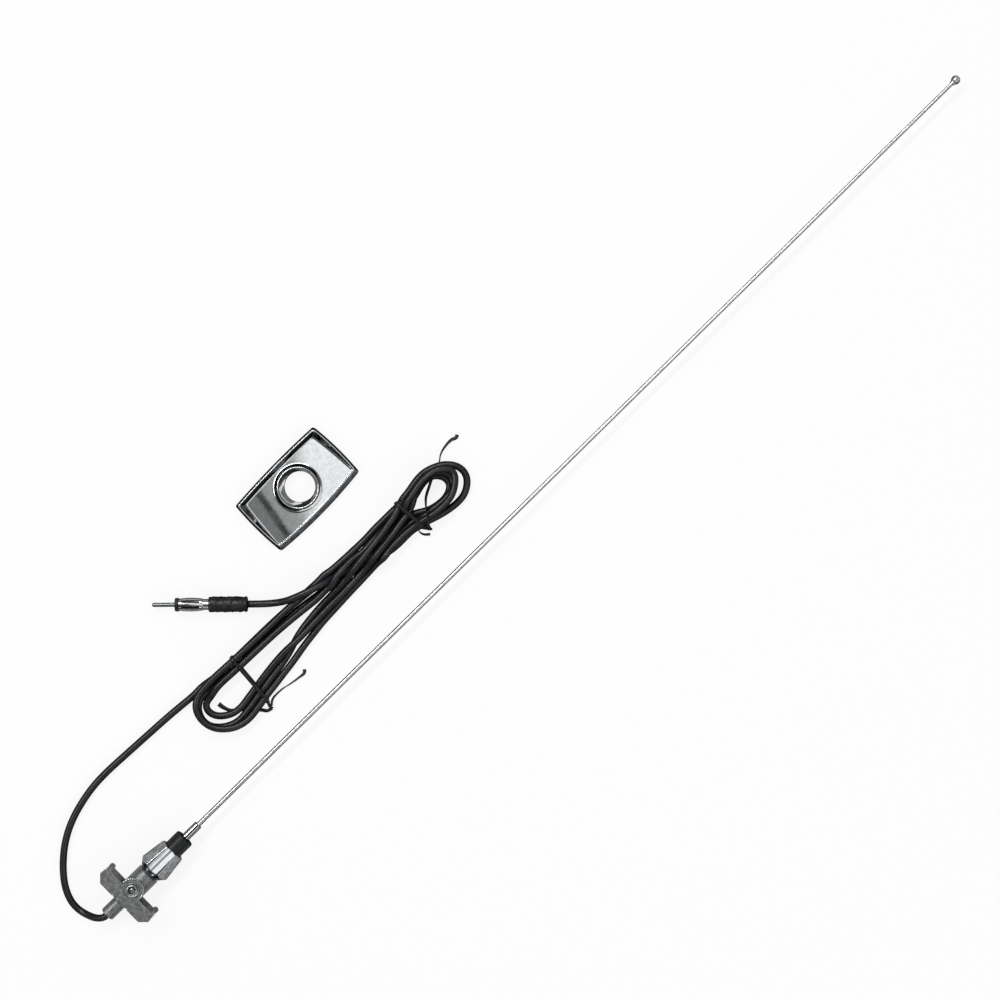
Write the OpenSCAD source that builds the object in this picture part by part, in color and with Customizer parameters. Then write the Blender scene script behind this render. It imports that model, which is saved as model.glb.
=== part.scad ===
// Car mast aerial with its coax lead, plug and loose panel bezel, as it lies on a flat surface.
// Millimetres. The mast runs along +X, +Z points up from the surface, and the origin is on the
// mast axis at the shoulder of the body where the clamp nut seats.

/* [Whip and ball] */
// Length of the whip from the top of its ferrule to the centre of the ball
whip_l = 770; // [300:5:1200]
// Diameter of the whip at the ferrule
whip_base_d = 3.5; // [2.4:0.1:4]
// Diameter of the whip at the ball
whip_tip_d = 2.6; // [1.5:0.1:3.5]
// Depth of the whip inside the ferrule
whip_seat_l = 16; // [8:0.5:18]
// Diameter of the ball
ball_d = 6.6; // [5:0.1:12]
// Depth of the whip past the centre of the ball
ball_hole_l = 1.5; // [0.5:0.1:2]

/* [Ferrule and insulator] */
// Diameter of the chromed ferrule
ferrule_d = 6.3; // [5:0.1:8]
// Length of the ferrule above the insulator
ferrule_l = 13.4; // [8:0.2:30]
// Length of the ferrule inside the insulator
ferrule_seat_l = 9.9; // [4:0.1:11]
// Diameter of the insulator collar
collar_d = 14.5; // [12.6:0.1:15]
// Height of the insulator collar above the spigot
collar_l = 13.1; // [12:0.1:30]
// Rounding of the collar's edges
collar_r = 1.2; // [0.3:0.1:2]
// Length of the insulator's sleeve inside the spigot
sleeve_l = 28.8; // [10:0.2:29]
// Outer diameter of the rubber seal under the collar
seal_d = 12.4; // [11:0.1:12.5]
// Inner diameter of the rubber seal
seal_hole_d = 9.6; // [9.2:0.1:10.4]
// Thickness of the rubber seal
seal_t = 1; // [0.5:0.1:2]

/* [Contact rod] */
// Diameter of the brass contact rod
rod_d = 3.2; // [2.4:0.1:4]
// Length of the rod screwed into the ferrule
rod_thread_l = 4; // [2:0.5:6]
// Length of the rod past the end of the sleeve
rod_tail_l = 4; // [3.5:0.1:6]
// Depth of the solder cup in the end of the rod
cup_l = 3; // [1:0.1:3.2]
// Thickness of the insulating disc at the rod's lower end
bush_t = 3; // [1:0.1:3.4]

/* [Body] */
// Diameter of the round body
body_d = 17.5; // [15.6:0.1:19]
// Length of the body below the nut
body_l = 30.4; // [29:0.2:45]
// Chamfer on both ends of the body
body_chamfer = 1.4; // [0.4:0.1:2]
// Outer diameter of the spigot's thread
spigot_d = 14.6; // [12:0.1:15]
// Length of the spigot past the shoulder
spigot_l = 22.8; // [12:0.2:22.8]
// Bore through the spigot and body
bore_d = 9; // [7.6:0.1:9.1]
// Distance of the claw's pivot behind the shoulder
pivot_back = 16.5; // [15:0.1:18]
// Diameter of the flat pads round the pivots
pad_d = 12; // [9:0.2:14]
// Height of each pad's face above the round body
pad_h = 0.15; // [0.05:0.05:0.8]
// Depth of the cable ferrule inside the body
socket_l = 9.2; // [5:0.1:10.4]

/* [Pivot rivets] */
// Diameter of the rivet's shank
rivet_d = 7.2; // [4:0.1:8]
// Depth of the shank below the pad
rivet_l = 3.6; // [2:0.1:3.8]
// Diameter of the rivet's head
rivet_head_d = 11.2; // [8.6:0.1:13]
// Thickness of the rivet's head
rivet_head_t = 0.8; // [0.4:0.1:1.5]
// Diameter of the hollow in the head
rivet_hole_d = 6; // [3:0.1:6.4]
// Depth of the hollow in the head
rivet_hole_l = 2.4; // [1:0.1:3]

/* [Claw] */
// Half the width of the claw across its two arms
claw_half = 24.7; // [24:0.1:30]
// Width of each arm along the mast
arm_w = 11.2; // [9.5:0.1:12]
// Distance of the arms' panel side behind the pivot
arm_back = 1.7; // [0.5:0.1:4]
// Radius of the round boss on each cheek
boss_r = 8.7; // [6.5:0.1:9]
// Thickness of each cheek
cheek_t = 1.5; // [1:0.1:2.5]
// Running gap between each cheek and its pad, and under each rivet head
cheek_gap = 0.1; // [0.05:0.01:0.2]
// Thickness of the web that joins the cheeks
web_t = 2.2; // [1.4:0.1:3]
// Distance of the web from the mast axis
web_y = 13.8; // [13.6:0.1:16]
// Corner cut of the arms on the cable side
arm_cut = 5.2; // [2:0.1:6]
// Radius of the rounded teeth
tooth_r = 1.95; // [1:0.05:2.2]
// How far the teeth stand out toward the panel
tooth_h = 2.2; // [1:0.1:3]
// Depth of the small chamfer round each cheek
cheek_chamfer = 0.4; // [0.2:0.05:0.6]

/* [Clamp nut] */
// Height of the nut
nut_l = 23.3; // [18:0.1:23.3]
// Width of the six-sided part across its corners, at its widest
nut_corner_d = 24.9; // [21:0.1:30]
// Width across the corners at the top
nut_top_d = 19.8; // [18.6:0.1:20.8]
// Diameter of the nut's lower rim
nut_rim_d = 18; // [16:0.1:20]
// Height of the cone under the six sides
nut_cone_l = 5; // [2:0.1:7]
// Diameter of the nut's top face
nut_face_d = 16.5; // [15.2:0.1:18]
// Height of the nut's rounded top
nut_round_l = 1.8; // [0.5:0.1:3]
// Gap left between the nut and the shoulder
nut_gap = 0.3; // [0.2:0.05:1]

/* [Cable] */
// Diameter of the coax cable
cable_d = 5.2; // [4.8:0.1:5.6]
// Outer diameter of the cable's braid
braid_d = 4.3; // [4.2:0.05:4.6]
// Outer diameter of the cable's white insulation
dielectric_d = 3.4; // [2.5:0.1:4]
// Diameter of the centre conductor
conductor_d = 1; // [0.5:0.1:1.4]
// Outer diameter of the cable ferrule inside the body
cable_ferrule_d = 9.4; // [9.3:0.1:9.8]
// Outer diameter of the cable ferrule outside the body
stub_d = 10.8; // [8.6:0.1:12]
// Length of the cable ferrule outside the body
stub_l = 13.3; // [8:0.1:13.3]
// Length of the jacket inside the cable ferrule
jacket_seat_l = 17; // [10:0.5:18]

/* [Plug] */
// Length of the plug's soft boot
boot_l = 28.4; // [15:0.2:28.4]
// Diameter of the boot
boot_d = 11.5; // [10.2:0.1:11.5]
// Length of the neck between boot and sprung shell
neck_l = 4.9; // [2:0.1:8]
// Diameter of the neck
neck_d = 8; // [7:0.1:9]
// Length of the sprung shell
shell_l = 16.6; // [10:0.1:20]
// Diameter of the sprung shell at its bulge
shell_d = 10; // [9.4:0.1:11]
// Diameter of the shell at its ends
shell_end_d = 8.8; // [8.4:0.1:9]
// Wall of the shell
shell_wall = 0.7; // [0.4:0.05:0.9]
// Width of the slots between the springs
slot_w = 1.1; // [0.6:0.1:1.6]
// Thickness of the black ring in front of the shell
flange_t = 3; // [1.5:0.1:5]
// Diameter of the black ring
flange_d = 9.9; // [9.2:0.1:11]
// Diameter of the centre pin
pin_d = 3.1; // [2:0.1:4]
// Length of the pin past the ring
pin_l = 16.8; // [10:0.1:20]

/* [Bezel] */
// Length of the bezel
bezel_l = 83.8; // [64:0.2:110]
// Width of the bezel
bezel_w = 50.4; // [44:0.2:60]
// Height of the bezel's rim above the surface
bezel_h = 8; // [7:0.1:12]
// Diameter of the hole for the nut's cone
bezel_hole_d = 22.4; // [18:0.1:24]
// Outer diameter of the raised collar round the hole
bezel_collar_d = 35; // [32:0.2:38]
// Diameter of the collar's crest
bezel_crest_d = 29.6; // [27:0.2:31]
// Height of the collar above the rim
bezel_collar_h = 0.8; // [0:0.1:3]
// Depth of the sloping seat from the crest down to the hole
bezel_seat_l = 2.8; // [1:0.1:3.6]
// Width of the rim's flat edge
rim_w = 1.1; // [0.6:0.1:2]
// Depth of the dish below the rim at its deep side
dish_deep = 4.6; // [2:0.1:4.8]
// Depth of the dish below the rim at its shallow side
dish_shallow = 0.3; // [0.1:0.1:1.5]
// Thickness of the bezel's plate and walls
bezel_t = 1.6; // [0.8:0.1:2]

/* [Ties] */
// Width of the flat wire ties
tie_w = 2.6; // [1.5:0.1:4]
// Thickness of the flat wire ties
tie_t = 1; // [0.6:0.1:1.4]

/* [Fits] */
// Radial clearance between fitted pieces
fit = 0.04; // [0.02:0.01:0.08]
// Sides of a full circle
round_n = 72; // [48:8:96]

/* [Hidden] */
$fn = round_n;
over = 1;

// The aerial lies on its lower rivet head, or on a flat of the nut where that is wider
pad_z = body_d / 2 + pad_h;
nut_taper = (nut_corner_d - nut_top_d) / (nut_l - nut_cone_l);
nut_low_d = nut_corner_d + nut_cone_l * nut_taper;
cheek_in_z = pad_z + cheek_gap;
cheek_out_z = cheek_in_z + cheek_t;
head_in_z = cheek_out_z + cheek_gap;
floor_z = -max(head_in_z + rivet_head_t, nut_low_d / 2 * cos(30));
strip_z = floor_z + tie_t / 2 + 0.1;

// Stations along the mast
collar_top_x = spigot_l + collar_l;
ferrule_top_x = collar_top_x + ferrule_l;
ferrule_low_x = collar_top_x - ferrule_seat_l;
sleeve_low_x = spigot_l - sleeve_l;
rod_low_x = sleeve_low_x - rod_tail_l;
rod_top_x = ferrule_low_x + rod_thread_l;
ball_x = ferrule_top_x + whip_l;
body_low_x = -body_l;
stub_low_x = body_low_x - stub_l;
socket_x = body_low_x + socket_l;
jacket_top_x = stub_low_x + jacket_seat_l;
braid_top_x = socket_x + 2;
dielectric_top_x = (braid_top_x + rod_low_x) / 2;

// The cable lies just above the surface, in a hank that rests on its two ties
cord_z = floor_z + cable_d / 2 + 0.1;
hank_low_z = floor_z + tie_t;
hank_h = 2.4 * cable_d;
hank_top_z = hank_low_z + hank_h;

// Route of the lead from the cable ferrule round to the hank
lead_route = [[stub_low_x, 0, 0], [stub_low_x - 2.3, 0, 0], [-48.8, 1.4, -0.9], [-51.8, 5, -3.2],
    [-54.3, 10.3, -6.2], [-55.8, 17, cord_z], [-55.4, 25, cord_z], [-52, 34, cord_z],
    [-46.5, 42, cord_z], [-39, 50, cord_z], [-30, 57.5, cord_z], [-20, 63.5, cord_z],
    [-9, 68, cord_z], [3, 71.2, cord_z], [15, 73.2, cord_z], [28, 73.8, cord_z],
    [41, 73.4, cord_z], [54, 72.8, cord_z], [67, 72.2, cord_z], [80, 71.6, cord_z],
    [92, 70.9, cord_z], [104, 69.9, cord_z], [116, 68.8, cord_z]];

// The plug lies on its boot, pointing away from the hank
plug_at = [186.4, 89.1];
plug_angle = 136;
plug_z = floor_z + boot_d / 2;
plug_back = [cos(plug_angle), sin(plug_angle)];
plug_exit = [plug_at[0], plug_at[1], plug_z];
plug_route = [plug_exit, [plug_at[0] - 4 * plug_back[0], plug_at[1] - 4 * plug_back[1], plug_z],
    [196, 80, plug_z + 0.8], [203, 74.4, plug_z + 3], [210.5, 69.9, plug_z + 5.2],
    [218, 66.3, plug_z + 6.2]];

// Stations along the plug, from the back of its boot
shell_t0 = boot_l + neck_l;
shell_t1 = shell_t0 + shell_l;
flange_t1 = shell_t1 + flange_t;
pin_tip_t = flange_t1 + pin_l;
boot_seat_l = 9;
boot_hole_d = neck_d + 2 * fit;
pin_shank_d = pin_d - 0.4;
core_d = shell_end_d - 2 * shell_wall - 2 * fit;
core_t0 = boot_l - boot_seat_l + 3;

// Centre and turn of the bezel on the surface
bezel_at = [270.5, 123.6];
bezel_turn = 1.1;
bezel_bow_end = 1.4;
bezel_bow_front = 2.3;
bezel_bow_back = 1.4;
bezel_corner_r = 1.6;
bezel_hole_at = [2.8, -0.2];
bezel_crest_at = [1.2, 0.1];

// Stations and turns of the ties
lower_tie_x = 149;
lower_tie_y = [27, 71.6];
upper_tie_x = 315;
upper_tie_y = [41.2, 66.4];

module along_x(x) {
    translate([x, 0, 0])
        rotate([0, 90, 0])
            children();
}

// A tube with square ends along +X, from x0 to x1
module tube_x(x0, x1, d, hole) {
    along_x(x0)
        difference() {
            cylinder(h = x1 - x0, d = d);
            translate([0, 0, -over])
                cylinder(h = x1 - x0 + 2 * over, d = hole);
        }
}

module rod_x(x0, x1, d) {
    along_x(x0)
        cylinder(h = x1 - x0, d = d);
}

function unit(v) = v / norm(v);

// Direction of a route at point i
function heading(route, i) =
    i == 0 ? unit(route[1] - route[0])
    : i == len(route) - 1 ? unit(route[i] - route[i - 1])
    : unit(unit(route[i + 1] - route[i]) + unit(route[i] - route[i - 1]));

// Ring of a section placed square to the route at point i
function ring(route, section, i) =
    let (t = heading(route, i),
        side = unit(cross([0, 0, 1], t)),
        up = cross(t, side))
    [for (p = section) route[i] + p[0] * side + p[1] * up];

function quad_faces(rings, n) =
    [for (i = [0 : rings - 2]) for (j = [0 : n - 1])
        [i * n + j, (i + 1) * n + j, (i + 1) * n + (j + 1) % n, i * n + (j + 1) % n]];

// A section swept along a route
module sweep(route, section) {
    n = len(section);
    rings = len(route);
    points = [for (i = [0 : rings - 1]) each ring(route, section, i)];
    first_cap = [for (j = [0 : n - 1]) j];
    last_cap = [for (j = [n - 1 : -1 : 0]) (rings - 1) * n + j];
    polyhedron(points = points, faces = concat([first_cap], quad_faces(rings, n), [last_cap]));
}

function round_section(d, n) = [for (j = [0 : n - 1]) d / 2 * [cos(j * 360 / n), sin(j * 360 / n)]];

function flat_section(w, t) = [[w / 2, -t / 2], [w / 2, t / 2], [-w / 2, t / 2], [-w / 2, -t / 2]];

// Round die-cast body with the threaded spigot, pivot pads and the socket for the cable ferrule
module mount_body() {
    color("#6f7576")
        difference() {
            union() {
                along_x(body_low_x)
                    cylinder(h = body_chamfer, d1 = body_d - 2 * body_chamfer, d2 = body_d);
                rod_x(body_low_x + body_chamfer, -body_chamfer, body_d);
                along_x(-body_chamfer)
                    cylinder(h = body_chamfer, d1 = body_d, d2 = body_d - 2 * body_chamfer);
                rod_x(-over, spigot_l, spigot_d);
                translate([-pivot_back, 0, -pad_z])
                    cylinder(h = 2 * pad_z, d = pad_d);
            }
            rod_x(body_low_x - over, spigot_l + over, bore_d);
            rod_x(body_low_x - over, socket_x, cable_ferrule_d + 2 * fit);
            for (side = [0, 180])
                translate([-pivot_back, 0, 0])
                    rotate([side, 0, 0])
                        translate([0, 0, pad_z - rivet_l - fit])
                            cylinder(h = rivet_l + over, d = rivet_d + 2 * fit);
        }
}

// One hollow-headed pivot, drawn on the +Z side
module pivot_rivet() {
    hole_z = head_in_z + rivet_head_t - rivet_hole_l;
    translate([-pivot_back, 0, 0]) {
        difference() {
            union() {
                translate([0, 0, pad_z - rivet_l])
                    cylinder(h = head_in_z + rivet_head_t - pad_z + rivet_l, d = rivet_d);
                translate([0, 0, head_in_z])
                    cylinder(h = rivet_head_t / 2, d = rivet_head_d);
                translate([0, 0, head_in_z + rivet_head_t / 2])
                    cylinder(h = rivet_head_t / 2, d1 = rivet_head_d, d2 = rivet_head_d - rivet_head_t);
            }
            translate([0, 0, hole_z])
                cylinder(h = rivet_hole_l + over, d = rivet_hole_d);
        }
        translate([0, 0, hole_z])
            cylinder(h = rivet_hole_l / 2, d1 = rivet_hole_d / 2, d2 = rivet_hole_d / 6);
    }
}

module pivot_rivet_top() {
    color("#8d9393")
        pivot_rivet();
}

module pivot_rivet_bottom() {
    color("#8d9393")
        mirror([0, 0, 1])
            pivot_rivet();
}

// Outline of one cheek, seen from +Z, with its origin at the pivot
module cheek_outline() {
    far_x = -arm_back - arm_w;
    near_x = -arm_back;
    neck_y = web_y - 6;
    circle(r = boss_r);
    for (side = [-1, 1])
        scale([1, side]) {
            polygon([[near_x, 0], [far_x + 1.5, 0], [far_x + 1.5, neck_y - 1.5], [far_x, neck_y],
                [far_x, claw_half - arm_cut], [far_x + arm_cut, claw_half], [near_x, claw_half - 0.9]]);
            translate([near_x + tooth_h - tooth_r, claw_half - 2.2])
                circle(r = tooth_r);
            translate([near_x - 1, claw_half - 2.2 - tooth_r])
                square([tooth_h - tooth_r + 1, 2 * tooth_r]);
        }
}

// One cheek on the +Z side, with its outer edge chamfered
module cheek() {
    shrink = (claw_half - cheek_chamfer) / claw_half;
    difference() {
        union() {
            translate([0, 0, cheek_in_z])
                linear_extrude(height = cheek_t - cheek_chamfer)
                    cheek_outline();
            translate([0, 0, cheek_out_z - cheek_chamfer])
                linear_extrude(height = cheek_chamfer, scale = shrink)
                    cheek_outline();
        }
        translate([0, 0, cheek_in_z - over])
            cylinder(h = cheek_t + 2 * over, d = rivet_d + 2 * fit);
    }
}

// Web on the cable side of one arm, from cheek to cheek
module claw_web() {
    far_x = -arm_back - arm_w;
    inner = web_t * 0.42;
    translate([0, 0, -cheek_in_z])
        linear_extrude(height = 2 * cheek_in_z)
            polygon([[far_x, web_y], [far_x, claw_half - arm_cut], [far_x + arm_cut, claw_half],
                [far_x + arm_cut + inner, claw_half - web_t],
                [far_x + web_t, claw_half - arm_cut - inner], [far_x + web_t, web_y]]);
}

// Swivelling foot that grips the panel from below
module claw() {
    color("#747a7a")
        translate([-pivot_back, 0, 0]) {
            cheek();
            mirror([0, 0, 1])
                cheek();
            claw_web();
            mirror([0, 1, 0])
                claw_web();
        }
}

// Chromed clamp nut: six tapering sides, one facing up, that cut into a round cone below
module clamp_nut() {
    color("#d9dedf")
        along_x(nut_gap)
            difference() {
                intersection() {
                    rotate_extrude()
                        polygon([[0, 0], [nut_rim_d / 2 - 0.6, 0], [nut_rim_d / 2, 0.6],
                            [nut_corner_d / 2 - 0.3, nut_cone_l - 0.6], [nut_corner_d / 2, nut_cone_l],
                            [nut_top_d / 2 + 0.3, nut_l - nut_round_l],
                            [(nut_top_d + nut_face_d) / 4 + 0.3, nut_l - 0.3 * nut_round_l],
                            [nut_face_d / 2, nut_l], [0, nut_l]]);
                    rotate([0, 0, 30])
                        cylinder(h = nut_l, d1 = nut_low_d, d2 = nut_top_d, $fn = 6);
                }
                translate([0, 0, -over])
                    cylinder(h = nut_l + 2 * over, d = spigot_d + 2 * fit);
            }
}

// Black moulded collar with its sleeve down the spigot
module insulator() {
    low_x = sleeve_low_x;
    color("#1d1f20")
        difference() {
            union() {
                rod_x(low_x, spigot_l + over, bore_d - 2 * fit);
                along_x(spigot_l)
                    rotate_extrude()
                        polygon(concat([[0, 0], [collar_d / 2, 0]],
                            [for (a = [0 : 15 : 90])
                                [collar_d / 2 - collar_r + collar_r * cos(a),
                                    collar_l - collar_r + collar_r * sin(a)]],
                            [[0, collar_l]]));
            }
            rod_x(low_x - over, collar_top_x + over, rod_d + 2 * fit);
            rod_x(ferrule_low_x, collar_top_x + over, ferrule_d + 2 * fit);
            tube_x(spigot_l - fit, spigot_l + seal_t, seal_d + 2 * fit, seal_hole_d - 2 * fit);
        }
}

// Rubber ring that keeps water out of the spigot
module spigot_seal() {
    color("#2a2422")
        tube_x(spigot_l, spigot_l + seal_t, seal_d, seal_hole_d);
}

// Chromed ferrule between the insulator and the whip
module mast_ferrule() {
    edge = 0.5;
    color("#dfe4e5")
        difference() {
            union() {
                rod_x(ferrule_low_x, ferrule_top_x - edge, ferrule_d);
                along_x(ferrule_top_x - edge)
                    cylinder(h = edge, d1 = ferrule_d, d2 = ferrule_d - 2 * edge);
            }
            rod_x(ferrule_top_x - whip_seat_l, ferrule_top_x + over, whip_base_d + 2 * fit);
            rod_x(ferrule_low_x - over, rod_top_x, rod_d + 2 * fit);
        }
}

// Tapered steel whip
module whip() {
    color("#c5cacb") {
        rod_x(ferrule_top_x - whip_seat_l, ferrule_top_x, whip_base_d);
        along_x(ferrule_top_x)
            cylinder(h = whip_l + ball_hole_l, d1 = whip_base_d, d2 = whip_tip_d);
    }
}

// Ball that guards the tip, with a short neck
module tip_ball() {
    neck = ball_d * 0.28;
    color("#b9bebf")
        difference() {
            union() {
                translate([ball_x, 0, 0])
                    sphere(d = ball_d);
                along_x(ball_x - ball_d / 2 - neck / 2)
                    cylinder(h = neck, d1 = whip_tip_d + 0.8, d2 = ball_d * 0.68);
            }
            rod_x(ball_x - ball_d, ball_x + ball_hole_l + fit, whip_tip_d + 4 * fit);
        }
}

// Brass rod that joins the whip's ferrule to the cable
module contact_rod() {
    color("#b8934a")
        difference() {
            rod_x(rod_low_x, rod_top_x, rod_d);
            rod_x(rod_low_x - over, rod_low_x + cup_l, conductor_d + 2 * fit);
        }
}

// Insulating disc that centres the rod's lower end
module lower_bush() {
    color("#d8d3c4")
        tube_x(sleeve_low_x - bush_t, sleeve_low_x, bore_d - 2 * fit, rod_d + 2 * fit);
}

// Round sleeve that holds the cable in the body
module cable_ferrule() {
    color("#7c8283")
        difference() {
            union() {
                rod_x(body_low_x - over, socket_x, cable_ferrule_d);
                rod_x(stub_low_x + 0.6, body_low_x, stub_d);
                along_x(stub_low_x)
                    cylinder(h = 0.6, d1 = stub_d - 1.2, d2 = stub_d);
            }
            rod_x(stub_low_x - over, jacket_top_x, cable_d + 2 * fit);
            rod_x(stub_low_x - over, socket_x + over, braid_d + 2 * fit);
        }
}

// Cable jacket inside the cable ferrule
module jacket_end() {
    color("#1b1c1e")
        tube_x(stub_low_x, jacket_top_x, cable_d, braid_d + 2 * fit);
}

module braid() {
    color("#b07b52")
        tube_x(stub_low_x, braid_top_x, braid_d, dielectric_d + 2 * fit);
}

module dielectric() {
    color("#e9e7df")
        tube_x(stub_low_x, dielectric_top_x, dielectric_d, conductor_d + 2 * fit);
}

module centre_conductor() {
    color("#c98a55")
        rod_x(stub_low_x, rod_low_x + cup_l, conductor_d);
}

module lead_cord() {
    color("#1b1c1e")
        sweep(lead_route, round_section(cable_d, 10));
}

module plug_cord() {
    color("#1b1c1e")
        sweep(plug_route, round_section(cable_d, 10));
}

// Outer shape of the tied hank: a wide lower loop, a waist and a wide upper loop
module hank_cord() {
    low_loop = [124, 48, 22];
    waist = [225, 53.2, 14.5];
    neck = [313, 53.7, 11.3];
    top_loop = [349, 51, 19];
    color("#1b1c1e")
        translate([0, 0, hank_low_z])
            linear_extrude(height = hank_h) {
                blob_pair(low_loop, waist);
                blob_pair(waist, neck);
                blob_pair(neck, top_loop);
            }
}

module blob_pair(a, b) {
    hull() {
        for (c = [a, b])
            translate([c[0], c[1]])
                circle(r = c[2], $fn = 32);
    }
}

// Band of a tie round the hank, square to it
module tie_band(x, y, top_z) {
    y0 = y[0];
    y1 = y[1];
    translate([x - tie_w / 2, 0, 0])
        difference() {
            translate([0, y0, floor_z])
                cube([tie_w, y1 - y0, top_z - floor_z]);
            translate([-over, y0 + tie_t, floor_z + tie_t])
                cube([tie_w + 2 * over, y1 - y0 - 2 * tie_t, top_z - floor_z - 2 * tie_t]);
        }
}

module lower_tie() {
    color("#141416") {
        tie_band(lower_tie_x, lower_tie_y, hank_top_z + tie_t);
        translate([144.5, 22.6, floor_z + 0.6])
            cube([6, 4.6, 6]);
        sweep([[149, 25.5, strip_z + 2.6], [155, 26.8, strip_z + 1.6], [162, 27.2, strip_z + 0.6],
            [169, 26, strip_z + 0.1], [176, 25, strip_z], [183, 24.6, strip_z]],
            flat_section(tie_w * 0.7, tie_t));
        sweep([[145, 24, strip_z + 1.4], [140.5, 27, strip_z], [133, 34, strip_z],
            [125.5, 43, strip_z], [121, 52.5, strip_z]],
            flat_section(tie_w, tie_t * 0.9));
    }
}

module upper_tie() {
    color("#141416") {
        tie_band(upper_tie_x, upper_tie_y, hank_top_z + tie_t);
        translate([315.1, 35.4, floor_z + 1.4])
            cube([6.6, 6, 6]);
        sweep([[320, 40, floor_z + 6], [321.5, 41.5, hank_top_z - 2.5], [323.5, 44, hank_top_z + 0.7],
            [327, 48.5, hank_top_z + 0.7], [333.5, 54, hank_top_z + 0.7],
            [341, 58.5, hank_top_z + 0.7], [349, 61.5, hank_top_z + 0.7],
            [358, 65, hank_top_z + 0.7], [363.5, 69.5, hank_top_z - 2], [368, 71.5, strip_z + 3.5],
            [372.5, 71.8, strip_z + 0.4], [377, 70.6, strip_z], [381.5, 70.6, strip_z]],
            flat_section(tie_w * 0.8, tie_t));
        sweep([[315.6, 38.5, strip_z + 2.2], [313.2, 37, strip_z + 1.4], [313.5, 34.5, strip_z + 0.3],
            [317, 31.5, strip_z]], flat_section(tie_w * 0.7, tie_t));
    }
}

// Places what follows along the plug, from the back of its boot, at station t
module on_plug(t) {
    translate([plug_at[0], plug_at[1], plug_z])
        rotate([0, 0, plug_angle])
            along_x(t)
                children();
}

// Soft boot with shallow wrinkles
module plug_boot() {
    wrinkle = 0.22;
    r = boot_d / 2 - wrinkle;
    outline = [for (t = [1.2 : 0.7 : boot_l - 0.8])
        [r + wrinkle * sin(t * 150) * cos(t * 41), t]];
    color("#17181a")
        on_plug(0)
            difference() {
                rotate_extrude()
                    polygon(concat([[0, 0], [r - 1, 0]], outline, [[r - 0.5, boot_l], [0, boot_l]]));
                translate([0, 0, -over])
                    cylinder(h = boot_l + 2 * over, d = cable_d + 2 * fit);
                translate([0, 0, boot_l - boot_seat_l])
                    cylinder(h = boot_seat_l + over, d = boot_hole_d);
            }
}

// Sprung shell: four bowed springs between two rings, with the neck that the boot grips
module plug_shell() {
    half = shell_l / 2;
    bow = (shell_d - shell_end_d) / 2;
    r = shell_end_d / 2;
    bulge = [for (i = [0 : 12]) [r + bow * sin(i * 15), shell_t0 + shell_l * i / 12]];
    inner = [for (i = [12 : -1 : 0]) [r - shell_wall + bow * sin(i * 15), shell_t0 + shell_l * i / 12]];
    neck_r = neck_d / 2;
    color("#cfd4d5")
        on_plug(0)
            difference() {
                rotate_extrude()
                    polygon(concat([[neck_r, boot_l - boot_seat_l]], [[neck_r, shell_t0 - 0.8]], bulge, inner,
                        [[neck_r - shell_wall, shell_t0 - 0.8], [neck_r - shell_wall, boot_l - boot_seat_l]]));
                for (a = [22.5 : 45 : 157.5])
                    rotate([0, 0, a])
                        translate([-shell_d, -slot_w / 2, shell_t0 + 1.6])
                            cube([2 * shell_d, slot_w, 2 * half - 3.4]);
            }
}

// Insulation inside the shell that carries the pin
module plug_core() {
    color("#e4e0d4")
        on_plug(core_t0)
            difference() {
                union() {
                    cylinder(h = shell_t1 - core_t0, d = neck_d - 2 * shell_wall - 2 * fit);
                    translate([0, 0, shell_t1 - core_t0 - 2])
                        cylinder(h = 2, d = core_d);
                }
                translate([0, 0, -over])
                    cylinder(h = shell_t1 - core_t0 + 2 * over, d = pin_shank_d + 2 * fit);
            }
}

// Black ring that insulates the front of the shell
module plug_flange() {
    edge = 0.4;
    color("#1c1e20")
        on_plug(shell_t1)
            difference() {
                rotate_extrude()
                    polygon([[0, 0], [flange_d / 2 - edge, 0], [flange_d / 2, edge],
                        [flange_d / 2, flange_t - edge], [flange_d / 2 - edge, flange_t], [0, flange_t]]);
                translate([0, 0, -over])
                    cylinder(h = flange_t + 2 * over, d = pin_shank_d + 2 * fit);
            }
}

// Centre pin, with a shoulder that sits on the front of the black ring
module plug_pin() {
    tip = pin_d * 0.4;
    length = pin_tip_t - core_t0;
    shoulder = flange_t1 - core_t0;
    color("#c9cecf")
        on_plug(core_t0)
            difference() {
                rotate_extrude()
                    polygon(concat([[0, 0], [pin_shank_d / 2, 0], [pin_shank_d / 2, shoulder],
                        [pin_d / 2, shoulder]],
                        [for (a = [0 : 15 : 75])
                            [pin_d / 2 * cos(a), length - tip + tip * sin(a)]],
                        [[0, length]]));
                translate([0, 0, -over])
                    cylinder(h = over + 5, d = conductor_d + 2 * fit);
            }
}

// Stripped cable end inside the plug
module plug_cable_end() {
    color("#33302c") {
        on_plug(0)
            cylinder(h = boot_l - boot_seat_l - fit, d = cable_d);
        on_plug(boot_l - boot_seat_l - fit)
            cylinder(h = core_t0 - boot_l + boot_seat_l, d = dielectric_d);
        on_plug(core_t0 - fit)
            cylinder(h = 4.5, d = conductor_d);
    }
}

module about(point, angle) {
    translate(point)
        rotate(angle)
            translate(-point)
                children();
}

function bow_radius(half, bow) = (half * half + bow * bow) / (2 * bow);

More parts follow.
